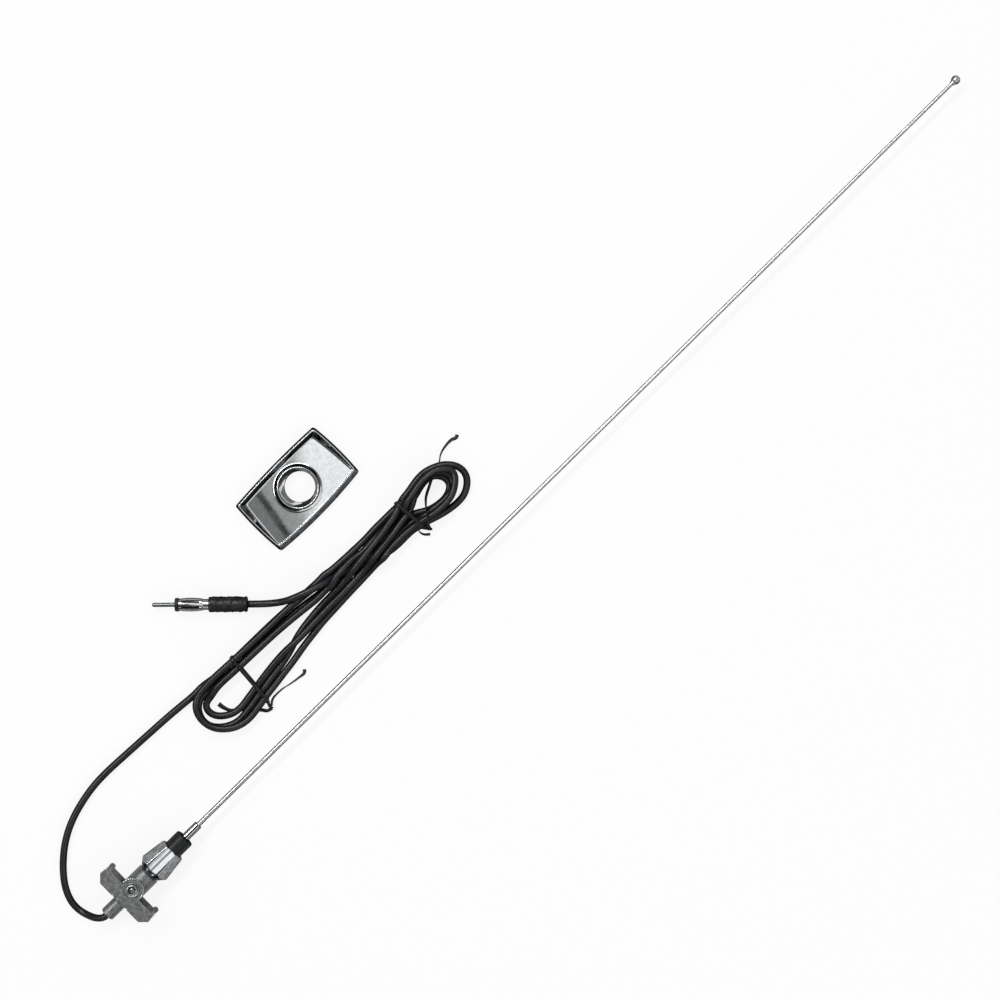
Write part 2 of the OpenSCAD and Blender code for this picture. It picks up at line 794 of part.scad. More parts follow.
// Outline of the bezel inside the given margins (left, right, front, back), its two ends leaning inward
module bezel_outline(m, lean) {
    half_l = bezel_l / 2;
    half_w = bezel_w / 2;
    end_r = bow_radius(half_w, bezel_bow_end);
    front_r = bow_radius(half_l, bezel_bow_front);
    back_r = bow_radius(half_l, bezel_bow_back);
    offset(r = bezel_corner_r, $fn = 20)
        offset(delta = -bezel_corner_r)
            intersection() {
                about([m[0] - half_l, m[2] - half_w], -lean[0])
                    translate([end_r - half_l + m[0], 0])
                        circle(r = end_r, $fn = 180);
                about([half_l - m[1], m[2] - half_w], lean[1])
                    translate([half_l - end_r - m[1], 0])
                        circle(r = end_r, $fn = 180);
                translate([0, front_r - half_w + m[2]])
                    circle(r = front_r, $fn = 240);
                translate([0, half_w - back_r - m[3]])
                    circle(r = back_r, $fn = 240);
            }
}

// Thin sheet with the bezel's outline inside the given margins
module bezel_sheet(margins, lean = [0, 0]) {
    linear_extrude(height = 0.01)
        bezel_outline(margins, lean);
}

// Places a sheet on the dish's sloping floor, lowered by the given amount
module on_slope(drop) {
    run = bezel_w - 2 * rim_w;
    angle = atan((dish_deep - dish_shallow) / run);
    translate([0, 0, bezel_h - (dish_deep + dish_shallow) / 2 - drop])
        rotate([-angle, 0, 0])
            children();
}

// Raised collar on the dish, before its seat and hole are cut
module bezel_collar(top_z) {
    crest_r = bezel_crest_d / 2;
    translate([bezel_crest_at[0], bezel_crest_at[1], 0])
        hull() {
            translate([0, 0, 3])
                cylinder(h = 1.6, d1 = bezel_collar_d - 2, d2 = bezel_collar_d);
            translate([0, 0, top_z - 0.8])
                cylinder(h = 0.5, r1 = crest_r + 1, r2 = crest_r + 0.8);
            translate([0, 0, top_z - 0.01])
                cylinder(h = 0.01, r = crest_r + 0.3);
        }
}

// Chromed bezel: sloping dish with a raised collar, and a seat for the nut's cone round the hole
module bezel() {
    foot = [0, 0, 0, 0];
    rim = [1.4, 1.9, 3, 1.4];
    dish_high = [for (m = rim) m + rim_w];
    dish_low = [rim[0] + rim_w + 0.4, rim[1] + rim_w + 0.3, rim[2] + rim_w + 0.2, rim[3] + rim_w + 2.4];
    lean = [5.6, 4.2];
    cavity_low = [for (m = foot) m + bezel_t];
    cavity_high = [for (m = dish_low) m + bezel_t];
    collar_top = bezel_h + bezel_collar_h;
    color("#dde2e3")
        translate([bezel_at[0], bezel_at[1], floor_z])
            rotate([0, 0, bezel_turn])
                difference() {
                    union() {
                        difference() {
                            hull() {
                                bezel_sheet(foot);
                                translate([0, 0, bezel_h - 0.01])
                                    bezel_sheet(rim);
                            }
                            hull() {
                                translate([0, 0, bezel_h + over])
                                    bezel_sheet(dish_high);
                                on_slope(0)
                                    bezel_sheet(dish_low, lean);
                            }
                            hull() {
                                translate([0, 0, -over])
                                    bezel_sheet(cavity_low);
                                on_slope(bezel_t)
                                    bezel_sheet(cavity_high, lean);
                            }
                        }
                        bezel_collar(collar_top);
                    }
                    hull() {
                        translate([bezel_crest_at[0], bezel_crest_at[1], collar_top])
                            cylinder(h = over, d = bezel_crest_d);
                        translate([bezel_hole_at[0], bezel_hole_at[1], collar_top - bezel_seat_l])
                            cylinder(h = 0.01, d = bezel_hole_d);
                    }
                    translate([bezel_hole_at[0], bezel_hole_at[1], -over])
                        cylinder(h = collar_top + 2 * over, d = bezel_hole_d);
                }
}

mount_body();
claw();
pivot_rivet_top();
pivot_rivet_bottom();
clamp_nut();
insulator();
spigot_seal();
mast_ferrule();
whip();
tip_ball();
contact_rod();
lower_bush();
cable_ferrule();
jacket_end();
braid();
dielectric();
centre_conductor();
lead_cord();
hank_cord();
plug_cord();
lower_tie();
upper_tie();
plug_boot();
plug_shell();
plug_core();
plug_flange();
plug_pin();
plug_cable_end();
bezel();
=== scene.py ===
"""Looks of the car mast aerial: cable, ties, finishes, light and camera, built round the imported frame."""
import math

import bpy
import numpy as np
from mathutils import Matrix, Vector


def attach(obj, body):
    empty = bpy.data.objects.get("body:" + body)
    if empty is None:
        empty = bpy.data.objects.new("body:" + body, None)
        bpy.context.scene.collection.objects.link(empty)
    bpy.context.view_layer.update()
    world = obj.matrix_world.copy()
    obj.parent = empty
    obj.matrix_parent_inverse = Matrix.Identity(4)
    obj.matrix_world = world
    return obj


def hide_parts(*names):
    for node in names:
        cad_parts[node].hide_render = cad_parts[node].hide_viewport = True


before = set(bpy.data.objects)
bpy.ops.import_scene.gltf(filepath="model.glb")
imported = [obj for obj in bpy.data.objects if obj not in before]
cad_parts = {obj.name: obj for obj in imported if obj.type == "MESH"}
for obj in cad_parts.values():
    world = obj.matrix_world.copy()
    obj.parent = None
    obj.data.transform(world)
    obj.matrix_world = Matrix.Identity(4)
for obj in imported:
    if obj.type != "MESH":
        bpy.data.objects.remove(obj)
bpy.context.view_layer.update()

MM = 0.001
FLOOR = -11.4 * MM
CABLE = 5.2 * MM

# Camera: straight above the middle of the picture, rolled so that the mast runs up to the right
VIEW_CENTRE = (370.2 * MM, 14.5 * MM)
VIEW_HEIGHT = 1.9
VIEW_WIDTH = 725 * MM
VIEW_ROLL = -44.52
SENSOR = 36.0

lens_data = bpy.data.cameras.new("camera")
lens_data.sensor_width = SENSOR
lens_data.lens = SENSOR * VIEW_HEIGHT / VIEW_WIDTH
lens_data.clip_start, lens_data.clip_end = 0.05, 50
camera = bpy.data.objects.new("camera", lens_data)
camera.location = (*VIEW_CENTRE, VIEW_HEIGHT)
camera.rotation_euler = (0, 0, math.radians(VIEW_ROLL))
bpy.context.scene.collection.objects.link(camera)
bpy.context.scene.camera = camera

# Cable: lead from the body, four turns of the hank, and the end that goes into the plug
LEAD_OUT = [(-43.7, 0, 0), (-46, 0, 0), (-48.8, 1.4, -0.9), (-51.8, 5, -3.2), (-54.3, 10.3, -6.2),
            (-55.8, 17, -8.7), (-55.4, 25, -8.7), (-52, 34, -8.7), (-46.5, 42, -8.7), (-39, 50, -8.7),
            (-30, 57.5, -8.7), (-20, 63.5, -8.7), (-9, 68, -8.7), (3, 71.2, -8.7), (15, 73.2, -8.7),
            (28, 73.8, -8.7), (41, 73.4, -8.7), (54, 72.8, -8.7), (67, 72.2, -8.7), (80, 71.6, -8.7),
            (92, 70.9, -8.7), (104, 69.9, -8.7)]
PLUG_END = [(203, 74.4, -2.65), (196, 80, -4.85), (189.28, 86.32, -5.65), (186.4, 89.1, -5.65)]

# The hank's runs, along and across the mast in steps of 0.725 mm, each with the layer that it starts in
STEP = 0.725 * MM
LOW, MIDDLE, UPPER, TOP = 0.0, 5.1 * MM, 9.2 * MM, 10.2 * MM
HANK_RUNS = [
    (LOW, """161,95 180,93.3 206,92.5 260,91.8 280,91 300,89.6 320,87.4 340,84.6 360,79 380,75.5 400,74
             430,73.5 440,68 450,63.3 470,59.6 480,61.5 486.5,66 487.3,72 486,78 482,83 476,86.5 470,87
             460,84.5 450,81.7"""),
    (TOP, """440,84 430,84 420,82 400,78.5 380,76 360,73.5"""),
    (MIDDLE, """345,71.4 329,70.3"""),
    (LOW, """311,70 300,69.1 290,68 280,66.5 270,64.4 260,61.2 250,58.2 240,56 230,54.3 204,50.5 190,48
             180,46.5 170,45.6 160,48.5 151,55 145.5,62 144,70 146,78 150,84 157,88 165,88.5 180,87
             206,85.5 260,85 280,84.2 300,82 320,79 340,75.5 360,71.5 380,68.5 400,67 430,67 440,64"""),
    (MIDDLE, """450,61.5 470,59 480,60 488,64 492,70 491,77 486,83.5 478,87 470,87.5 460,86 450,82
                440,79 430,74.5 420,72.5"""),
    (UPPER, """400,69.5 380,67.3"""),
    (MIDDLE, """360,65 340,64 320,63.7 300,63.2 280,62.6 262,62.3 250,62.6 240,62.2 230,61.2"""),
    (LOW, """204,57 190,55 180,53.7 170,55.3 162,60 157,65 154.5,71 155,77.5 159,82 165,84.3"""),
    (MIDDLE, """180,85 206,84 230,83.5 260,82.5 280,81 300,79 312,77.8 325,78.4 340,80.3 360,79.7 380,79"""),
    (LOW, """400,79.5 430,80"""),
    (TOP, """440,83 455,86 465,88 475,88.3 483,87 490,84 494,80 497,76 496.5,70 490,63.5 480,57.5
             470,55.8 460,56 450,57.5 440,60"""),
    (MIDDLE, """430,61.3 420,62.3 400,62.3 380,61.3"""),
    (LOW, """360,60.3 340,59.7 320,58.5 300,57.4 280,55 270,53.6 262,52.2 250,50 240,48.6 230,47.4"""),
    (MIDDLE, """210,44.8 200,43 190,41.3 180,40 170,41 160,45 153,50.5 147,57.5 144,66 143.8,75 146.5,83
                152,89 160,92.3 170,93.6 180,93.8 206,92.8 230,92 260,91.5 283,91.3 310,89.6 340,88
                380,86.7"""),
    (LOW, """410,86.2 430,86.5 440,87.8 450,89.8 460,91.8 470,92.8 480,91.8 488,89 495,85 500,80 503,76
             505,70 504.8,64 502,58 497,53.5 490,49.3 480,48 470,48.8 460,50.8 450,53.7 444,56 430,60.5
             400,62"""),
    (MIDDLE, """380,70 362,76 347,78.6 338,80.8"""),
    (TOP, """329,83.4 320,86.2 310,89.3 300,92.4 290,96.5"""),
]


def below_the_view(points):
    """Moves points that were given, straight below the camera's line of sight, out to their height."""
    points = np.array(points, float)
    centre = np.array(VIEW_CENTRE)
    points[:, :2] = centre + (points[:, :2] - centre) * ((VIEW_HEIGHT - points[:, 2:]) / VIEW_HEIGHT)
    return points


def cable_points():
    """The cable's route, in order, from the body to the plug."""
    points = [[c * MM for c in p] for p in LEAD_OUT]
    for layer, run in HANK_RUNS:
        for pair in run.split():
            along, across = (float(c) * STEP for c in pair.split(","))
            points.append([along, across, FLOOR + CABLE / 2 + 0.2 * MM + layer])
    return np.vstack([below_the_view(points), np.array(PLUG_END) * MM])


def even_line(line, step):
    along = np.concatenate([[0], np.cumsum(np.linalg.norm(np.diff(line, axis=0), axis=1))])
    at = np.linspace(0, along[-1], int(along[-1] / step) + 1)
    return np.stack([np.interp(at, along, line[:, k]) for k in range(3)], 1)


def smooth_line(points, step):
    """A smooth curve through the points, cut into even steps."""
    p = np.vstack([2 * points[0] - points[1], points, 2 * points[-1] - points[-2]])
    t = np.concatenate([[0], np.cumsum(np.linalg.norm(np.diff(p, axis=0), axis=1) ** 0.5)])
    parts = []
    for i in range(1, len(p) - 2):
        u = np.linspace(t[i], t[i + 1], 16, endpoint=False)[:, None]

        def between(a, b, ta, tb):
            return (tb - u) / (tb - ta) * a + (u - ta) / (tb - ta) * b

        a1 = between(p[i - 1], p[i], t[i - 1], t[i])
        a2 = between(p[i], p[i + 1], t[i], t[i + 1])
        a3 = between(p[i + 1], p[i + 2], t[i + 1], t[i + 2])
        b1 = between(a1, a2, t[i - 1], t[i + 1])
        b2 = between(a2, a3, t[i], t[i + 2])
        parts.append(between(b1, b2, t[i], t[i + 1]))
    return even_line(np.vstack(parts + [p[-2][None]]), step)


def touching_pairs(line, reach, apart):
    near = ((line[:, None] - line[None]) ** 2).sum(2) < reach * reach
    i, j = np.nonzero(near)
    keep = j - i > apart
    return i[keep], j[keep]


# Settling: how strongly a point gives way to a run that it touches, straightens, goes back to its route,
# and sinks to the floor
ROUNDS, GENTLE_ROUNDS = 400, 60
HELD_AT_BODY, HELD_AT_PLUG = 6, 4
GIVE_WAY, STRAIGHTEN, GO_BACK, GO_BACK_UP = 0.22, 0.16, 0.05, 0.01
SINK, LONGEST_MOVE = 0.04 * MM, 0.8 * MM


def settle_cable(line, step):
    """Lets the turns find room beside and over each other, a cable apart, and rest on the floor."""
    target = line.copy()
    apart = int(3.2 * CABLE / step)
    free = np.ones(len(line))
    free[:HELD_AT_BODY] = 0
    free[-HELD_AT_PLUG:] = 0
    for turn in range(ROUNDS):
        if turn % 10 == 0:
            i, j = touching_pairs(line, 2 * CABLE, apart)
        gap = line[j] - line[i]
        distance = np.linalg.norm(gap, axis=1)
        short = np.clip(CABLE * 1.01 - distance, 0, None)
        push = gap / np.maximum(distance, 1e-6)[:, None] * (short * GIVE_WAY)[:, None]
        move = np.zeros_like(line)
        np.add.at(move, j, push)
        np.add.at(move, i, -push)
        move = np.clip(move, -LONGEST_MOVE, LONGEST_MOVE)
        ease = 1.0 if turn < ROUNDS - GENTLE_ROUNDS else 0.25
        move[1:-1] += STRAIGHTEN * ease * ((line[2:] + line[:-2]) / 2 - line[1:-1])
        move[2:-2] += (-line[:-4] + 4 * line[1:-3] - 6 * line[2:-2] + 4 * line[3:-1] - line[4:]) / 32
        move[:, :2] += GO_BACK * (target[:, :2] - line[:, :2])
        move[:, 2] += GO_BACK_UP * (target[:, 2] - line[:, 2]) - SINK * ease
        line = line + move * free[:, None]
        line[:, 2] = np.maximum(line[:, 2], FLOOR + CABLE / 2 + 0.1 * MM)
    return line


# Mesh helpers
def new_piece(name, points, faces, body):
    mesh = bpy.data.meshes.new(name)
    mesh.from_pydata([tuple(map(float, p)) for p in points], [], [tuple(map(int, f)) for f in faces])
    mesh.update()
    mesh.polygons.foreach_set("use_smooth", [True] * len(mesh.polygons))
    piece = bpy.data.objects.new(name, mesh)
    bpy.context.scene.collection.objects.link(piece)
    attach(piece, body)
    return piece


def sharpen(piece, degrees):
    piece.data.set_sharp_from_angle(angle=math.radians(degrees))


def all_round(count):
    """Angles of the points of a ring."""
    return np.arange(count) * 2 * math.pi / count


def ring_faces(rings, count, closed=False, capped=False):
    """Faces between rings of equally many points, in order, back to the first or with both ends closed."""
    faces = []
    for k in range(rings if closed else rings - 1):
        a, b = k * count, (k + 1) % rings * count
        faces += [(a + j, a + (j + 1) % count, b + (j + 1) % count, b + j) for j in range(count)]
    if capped:
        faces += [tuple(range(count))[::-1], tuple(range((rings - 1) * count, rings * count))]
    return faces


def rings_surface(rings, closed=False):
    return np.vstack(rings), ring_faces(len(rings), len(rings[0]), closed)


def headings(line):
    t = np.gradient(line, axis=0)
    return t / np.linalg.norm(t, axis=1)[:, None]


def carried_sides(line):
    """A side and an up direction at each point of a line, turned as little as possible along it."""
    t = headings(line)
    up = np.array([0.0, 0.0, 1.0])
    sides, ups = [], []
    for k in range(len(line)):
        up = up - up @ t[k] * t[k]
        up /= np.linalg.norm(up)
        ups.append(up)
        sides.append(np.cross(up, t[k]))
    return np.array(sides), np.array(ups)


def sweep(name, line, section, body, scale=1.0):
    """A closed section carried along a line, with both ends closed."""
    sides, ups = carried_sides(line)
    shape = section[None, :, :1] * sides[:, None] + section[None, :, 1:] * ups[:, None]
    points = line[:, None] + np.broadcast_to(scale, len(line))[:, None, None] * shape
    return new_piece(name, points.reshape(-1, 3), ring_faces(len(line), len(section), capped=True), body)


def round_section(diameter, count):
    a = all_round(count)
    return np.stack([np.cos(a), np.sin(a)], 1) * diameter / 2


CABLE_STEP = 2.4 * MM
cable_line = settle_cable(smooth_line(cable_points(), CABLE_STEP), CABLE_STEP)
cable = sweep("cable", cable_line, round_section(CABLE, 14), "aerial")
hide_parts("lead_cord", "hank_cord", "plug_cord")

# Ties: flat wires in black plastic, once round the hank, twisted, with two loose ends each
TIE_WIDTH, TIE_THICK = 2.6 * MM, 0.9 * MM
TIE_CORNER = 0.3
CLEAR = 0.05 * MM


def hull_of(points):
    """Outline round a set of flat points, in order."""
    points = sorted(map(tuple, points))

    def half(run):
        out = []
        for p in run:
            while len(out) > 1 and ((out[-1][0] - out[-2][0]) * (p[1] - out[-2][1])
                                    - (out[-1][1] - out[-2][1]) * (p[0] - out[-2][0])) <= 0:
                out.pop()
            out.append(p)
        return out[:-1]

    return np.array(half(points) + half(points[::-1]))


def cable_crossings(x, lean, y_middle):
    """Places (y, z) where the cable passes through a nearly square plane across the hank."""
    side = cable_line[:, 0] - (x + lean * (cable_line[:, 1] - y_middle))
    found = []
    for k in np.nonzero(np.diff(np.sign(side)) != 0)[0]:
        f = side[k] / (side[k] - side[k + 1])
        point = cable_line[k] * (1 - f) + cable_line[k + 1] * f
        if abs(point[1] - y_middle) < 40 * MM:
            found.append(point[1:])
    return found


def flat_section(width):
    """Section of a tie: a flat strip with soft edges, wide along its first axis."""
    w, t = width / 2, TIE_THICK / 2
    c = TIE_CORNER * TIE_THICK
    return np.array([(w, -t + c), (w, t - c), (w - c, t), (c - w, t),
                     (-w, t - c), (-w, c - t), (c - w, -t), (w - c, -t)])


def carry(section, line, sides, ups):
    """The points of a section, the same one or one for each place, carried along a line."""
    points = line[:, None] + section[..., :1] * sides[:, None] + section[..., 1:] * ups[:, None]
    return points.reshape(-1, 3)


def tie_loop(x, lean, y_middle):
    """A strip drawn tight round all the runs that cross its plane."""
    around = []
    for y, z in cable_crossings(x, lean, y_middle):
        a = all_round(24)
        r = CABLE / 2 + TIE_THICK / 2 + CLEAR
        around += list(np.stack([y + r * np.cos(a), z + r * np.sin(a)], 1))
    outline = hull_of(around)
    outline = even_line(np.column_stack([outline[:, 0] * 0, outline]), 1.2 * MM)
    loop = even_line(np.vstack([outline, outline[:1]]), 1.0 * MM)
    for _ in range(3):
        loop = (np.roll(loop, 1, 0) + 2 * loop + np.roll(loop, -1, 0)) / 4
    loop[:, 2] = np.maximum(loop[:, 2], FLOOR + TIE_THICK / 2 + CLEAR)
    loop[:, 0] = x + lean * (loop[:, 1] - y_middle)
    along = np.roll(loop, -1, 0) - np.roll(loop, 1, 0)
    along /= np.linalg.norm(along, axis=1)[:, None]
    side = np.array([1.0, lean, 0.0])
    side /= np.linalg.norm(side)
    section = flat_section(TIE_WIDTH)
    points = carry(section[None], loop, side[None], np.cross(along, side))
    return points, ring_faces(len(loop), len(section), closed=True)


ON_TOP = None


def cable_top(x, y):
    """Height of a strip's middle where it lies on the highest turn of cable near the point."""
    near = np.hypot(cable_line[:, 0] - x, cable_line[:, 1] - y) < 0.9 * CABLE
    under = float(cable_line[near, 2].max()) + CABLE / 2 if near.any() else FLOOR
    return under + TIE_WIDTH / 2


def strip(trace, width=TIE_WIDTH, turns=0.0, widen=0.0):
    """A loose end: a flat strip along given points, each along and across in hank steps, and its height in mm
    over the floor, or ON_TOP where it lies on the cable."""
    raw = []
    for s, n, h in trace:
        x, y = s * STEP, n * STEP
        raw.append((x, y, cable_top(x, y) if h is ON_TOP else FLOOR + h * MM))
    raw = below_the_view(raw)
    line = smooth_line(raw, 0.8 * MM)
    t = headings(line)
    flat = np.cross([0, 0, 1], t)
    flat /= np.linalg.norm(flat, axis=1)[:, None]
    ups = np.cross(t, flat)
    share = np.linspace(0, 1, len(line))
    a = (turns * 2 * math.pi * share)[:, None]
    section = flat_section(width)
    size = np.stack([1 + widen * np.clip((share - 0.8) / 0.2, 0, 1), np.ones(len(line))], 1)
    points = carry(section[None] * size[:, None], line, flat * np.cos(a) + ups * np.sin(a),
                   ups * np.cos(a) - flat * np.sin(a))
    points[:, 2] = np.maximum(points[:, 2], FLOOR + CLEAR)
    return points, ring_faces(len(line), len(section), capped=True)


def join_parts(parts):
    points, faces = [], []
    for p, f in parts:
        base = sum(len(x) for x in points)
        points.append(p)
        faces += [tuple(i + base for i in face) for face in f]
    return np.vstack(points), faces


lower_tie = new_piece("lower_wire_tie", *join_parts([
    tie_loop(149 * MM, 0.075, 48 * MM),
    strip([(203.5, 43, 4.5), (203, 39, 4.2), (202, 35, 3.4), (201, 31.5, 2.4)], turns=1.5),
    strip([(204.5, 42, 3.2), (203.6, 38, 3.0), (202.6, 34, 2.4), (202, 31, 1.6)], turns=1.5),
    strip([(203.5, 33.5, 2.6), (209, 37.5, 2.2), (222, 38, 1.2), (232, 36, 0.8), (242, 34.5, 0.7),
           (250, 34, 0.7), (252.5, 36.5, 0.7)], width=1.7 * MM, turns=0.5, widen=0.6),
    strip([(202, 31.5, 1.6), (197, 33, 1.0), (193, 38, 0.6), (186, 45, 0.5), (178, 53, 0.5), (171, 59, 0.7),
           (168, 66, 0.8), (167, 72, 0.8)], widen=0.35)]), "aerial")
upper_tie = new_piece("upper_wire_tie", *join_parts([
    tie_loop(315.8 * MM, -0.09, 53 * MM),
    strip([(437.5, 57, 5.5), (438.5, 54, 5.2), (439.5, 50.5, 4.4), (440, 47.5, 3.4)], turns=1.2),
    strip([(438.5, 56, 4.2), (439.6, 53, 4.0), (440.6, 49.5, 3.2), (441, 46.8, 2.4)], turns=1.2),
    strip([(439, 50, 3.6), (435, 55, 3.4), (432, 56, 2.6), (431, 52.5, 1.6), (432.5, 48.5, 0.9),
           (437, 44.5, 0.7)], width=2.0 * MM, turns=0.5),
    strip([(440.5, 49, 5), (443, 53.5, ON_TOP), (446.5, 58, ON_TOP), (449.5, 62, ON_TOP), (453.5, 67.5, 8),
           (460, 74, 2.4), (470, 79.5, 0.9), (478, 83.5, 0.5), (486, 86.5, 0.5), (493, 89, 0.7),
           (500, 94, 1.2), (508, 96.5, 0.9), (518, 97, 0.7), (523, 95.3, 0.7), (526, 96.6, 0.7)],
          width=2.1 * MM, turns=1.0, widen=0.3)]), "aerial")
for tie, node in ((lower_tie, "lower_tie"), (upper_tie, "upper_tie")):
    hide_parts(node)

# Clamp nut, in mm from its foot: six slightly crowned flats that cut into the cone, with soft corners
NUT_FOOT = 0.3
NUT_LENGTH = 23.3
NUT_LOW, NUT_TOP = 26.29, 19.8
NUT_BORE = 14.68
NUT_ROUND = [(0, 8.4), (0.15, 8.75), (0.6, 9.0), (4.2, 12.0), (4.7, 12.28), (5.2, 12.42), (21.0, 10.3),
             (21.6, 10.1), (22.3, 9.75), (22.9, 9.2), (23.2, 8.7), (23.3, 8.25)]
FLAT_CROWN = 62.0
NUT_CORNER = 0.28
NUT_TURN = all_round(180)
NUT_STATIONS = [0, 0.15, 0.35, 0.6, *np.arange(0.85, 21.0, 0.25), 21.2, 21.6, 22.0, 22.3, 22.6, 22.9, 23.1,
                23.2, 23.3]
BORE_PROFILE = [(NUT_LENGTH, 0.25), (NUT_LENGTH - 0.25, 0), (0.3, 0), (0, 0.3)]


def nut_circle(x, radius):
    r = radius * MM
    along = np.full(len(NUT_TURN), (NUT_FOOT + x) * MM)
    return np.stack([along, r * np.sin(NUT_TURN), r * np.cos(NUT_TURN)], 1)


def nut_ring(x):
    """Outside of the nut: the nearest of a flat, a corner and the cone, all the way round."""
    apothem = (NUT_LOW + (NUT_TOP - NUT_LOW) * x / NUT_LENGTH) / 2 * math.cos(math.pi / 6)
    cone = float(np.interp(x, *zip(*NUT_ROUND)))
    off = (NUT_TURN + math.pi / 6) % (math.pi / 3) - math.pi / 6
    across = apothem * np.tan(off)
    flat = (apothem - (FLAT_CROWN - np.sqrt(FLAT_CROWN ** 2 - across ** 2))) / np.cos(off)
    corner = apothem / math.cos(math.pi / 6) - NUT_CORNER
    return nut_circle(x, np.minimum(np.minimum(flat, corner), cone))


nut_rings = [nut_ring(x) for x in NUT_STATIONS]
nut_rings += [nut_circle(x, NUT_BORE / 2 + wider) for x, wider in BORE_PROFILE]
crowned_nut = new_piece("crowned_nut", *rings_surface(nut_rings, closed=True), "nut")
sharpen(crowned_nut, 60)
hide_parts("clamp_nut")

# Bezel: sloping dish with rounded edges, a raised collar, and a seat for the nut's cone. It is made in mm
# in its own frame: X along it, Y to its back, Z up from its foot
BEZEL_AT, BEZEL_TURN = (270.5, 123.6), 1.1
BEZEL_LONG, BEZEL_WIDE, BEZEL_HIGH = 83.8 / 2, 50.4 / 2, 8.0
BOW_END, BOW_FRONT, BOW_BACK, CORNER = 1.4, 2.3, 1.4, 1.7
DISH_DEEP, DISH_SHALLOW, DISH_CROWN = 4.6, 0.3, 0.35
DISH_SLOPE = (DISH_DEEP - DISH_SHALLOW) / (2 * BEZEL_WIDE - 2.2)
DISH_MIDDLE = BEZEL_HIGH - (DISH_DEEP + DISH_SHALLOW) / 2
SKIN = 1.6
RING_AT, HOLE_AT, HOLE_R = (1.2, 0.1), (2.8, -0.2), 11.2
# Margins inside the foot, at the left, right, front and back: to the rim and to the dish
FOOT = (0, 0, 0, 0)
RIM_OUT = (1.9, 1.1, 3.0, 1.8)
DISH_IN = (3.0, 3.3, 4.3, 5.4)
DISH_LEAN = (math.tan(math.radians(5.6)), math.tan(math.radians(4.2)))
# The rim's round edge: how far in from RIM_OUT, and how far below the top
RIM_EDGE = [(0.06, 0.18), (0.25, 0.03), (0.4, 0), (0.75, 0), (0.95, 0.06)]
COLLAR_FOOT, COLLAR_SIDE, COLLAR_TOP = 18.3, 17.5, BEZEL_HIGH + 0.8
# The collar's round crest: radius, and how far below its top
COLLAR_CREST = [(15.5, 0.45), (15.3, 0.16), (15.05, 0.03), (14.8, 0), (14.55, 0.05), (14.35, 0.2)]
SEAT_DEEP, SEAT_SAG = 2.8, 0.25
# The hole's two edges: how far outside its wall, and the height
HOLE_EDGES = [(0.1, COLLAR_TOP - 2.78), (0, COLLAR_TOP - 3.0), (0, 3.15), (0.15, 3.0)]


def soft_corner(start, tip, end, u):
    """Where the soft curve that stands for the corner at the tip is, at its share u."""
    return (1 - u) ** 2 * start + 2 * u * (1 - u) * tip + u ** 2 * end


def bezel_line(margins, lean=(0.0, 0.0)):
    """Outline of the bezel inside the margins (left, right, front, back), with rounded corners."""
    left, right, front, back = margins

    def bow(t, half, depth):
        return depth * (t / half) ** 2

    def x_left(y):
        return left - BEZEL_LONG + bow(y, BEZEL_WIDE, BOW_END) + lean[0] * (y + BEZEL_WIDE - front)

    def x_right(y):
        return BEZEL_LONG - right - bow(y, BEZEL_WIDE, BOW_END) - lean[1] * (y + BEZEL_WIDE - front)

    def y_front(x):
        return front - BEZEL_WIDE + bow(x, BEZEL_LONG, BOW_FRONT)

    def y_back(x):
        return BEZEL_WIDE - back - bow(x, BEZEL_LONG, BOW_BACK)

    corners = []
    for side, edge in ((x_left, y_front), (x_right, y_front), (x_right, y_back), (x_left, y_back)):
        y = edge(0)
        for _ in range(12):
            x = side(y)
            y = edge(x)
        corners.append((x, y))
    t = np.linspace(0, 1, 30)[:, None]
    (ax, ay), (bx, by), (cx, cy), (dx, dy) = corners
    x = ax + CORNER + (bx - ax - 2 * CORNER) * t
    sides = [np.hstack([x, y_front(x)])]
    y = by + CORNER + (cy - by - 2 * CORNER) * t[::2]
    sides.append(np.hstack([x_right(y), y]))
    x = cx - CORNER + (dx - cx + 2 * CORNER) * t
    sides.append(np.hstack([x, y_back(x)]))
    y = dy - CORNER + (ay - dy + 2 * CORNER) * t[::2]
    sides.append(np.hstack([x_left(y), y]))
    line = []
    for k, side in enumerate(sides):
        following = (k + 1) % 4
        u = np.linspace(0, 1, 9)[1:-1, None]
        line += [side, soft_corner(side[-1], np.array(corners[following]), sides[following][0], u)]
    return np.vstack(line)


def dish_height(flat, drop=0.0):
    """Height of the crowned dish, or of the plain surface that lies a drop under it."""
    crown = DISH_CROWN * (1 - ((flat[:, 0] - RING_AT[0]) / 36) ** 2)
    return DISH_MIDDLE - DISH_SLOPE * flat[:, 1] - drop + (crown if drop == 0 else 0)


def level(flat, height):
    return np.column_stack([flat, np.broadcast_to(height, len(flat))])


def inset(margins, by):
    return tuple(m + by for m in margins)


DISH_FLOOR = bezel_line(inset(DISH_IN, 1.0), DISH_LEAN)
AROUND = np.arctan2(DISH_FLOOR[:, 1] - RING_AT[1], DISH_FLOOR[:, 0] - RING_AT[0])


def ring_at(radius, centre=RING_AT):
    """A circle with its points in line with those of the dish's edge."""
    return np.array(centre) + radius * np.stack([np.cos(AROUND), np.sin(AROUND)], 1)


def rim_rings():
    """From the foot up the sloping wall and over the rim."""
    rings = [level(bezel_line(inset(FOOT, 0.2)), 0.0), level(bezel_line(FOOT), 0.25)]
    for part in (0.25, 0.5, 0.75, 0.93):
        rings.append(level(bezel_line(tuple(m * part for m in RIM_OUT)), BEZEL_HIGH * part))
    return rings + [level(bezel_line(inset(RIM_OUT, inward)), BEZEL_HIGH - drop) for inward, drop in RIM_EDGE]


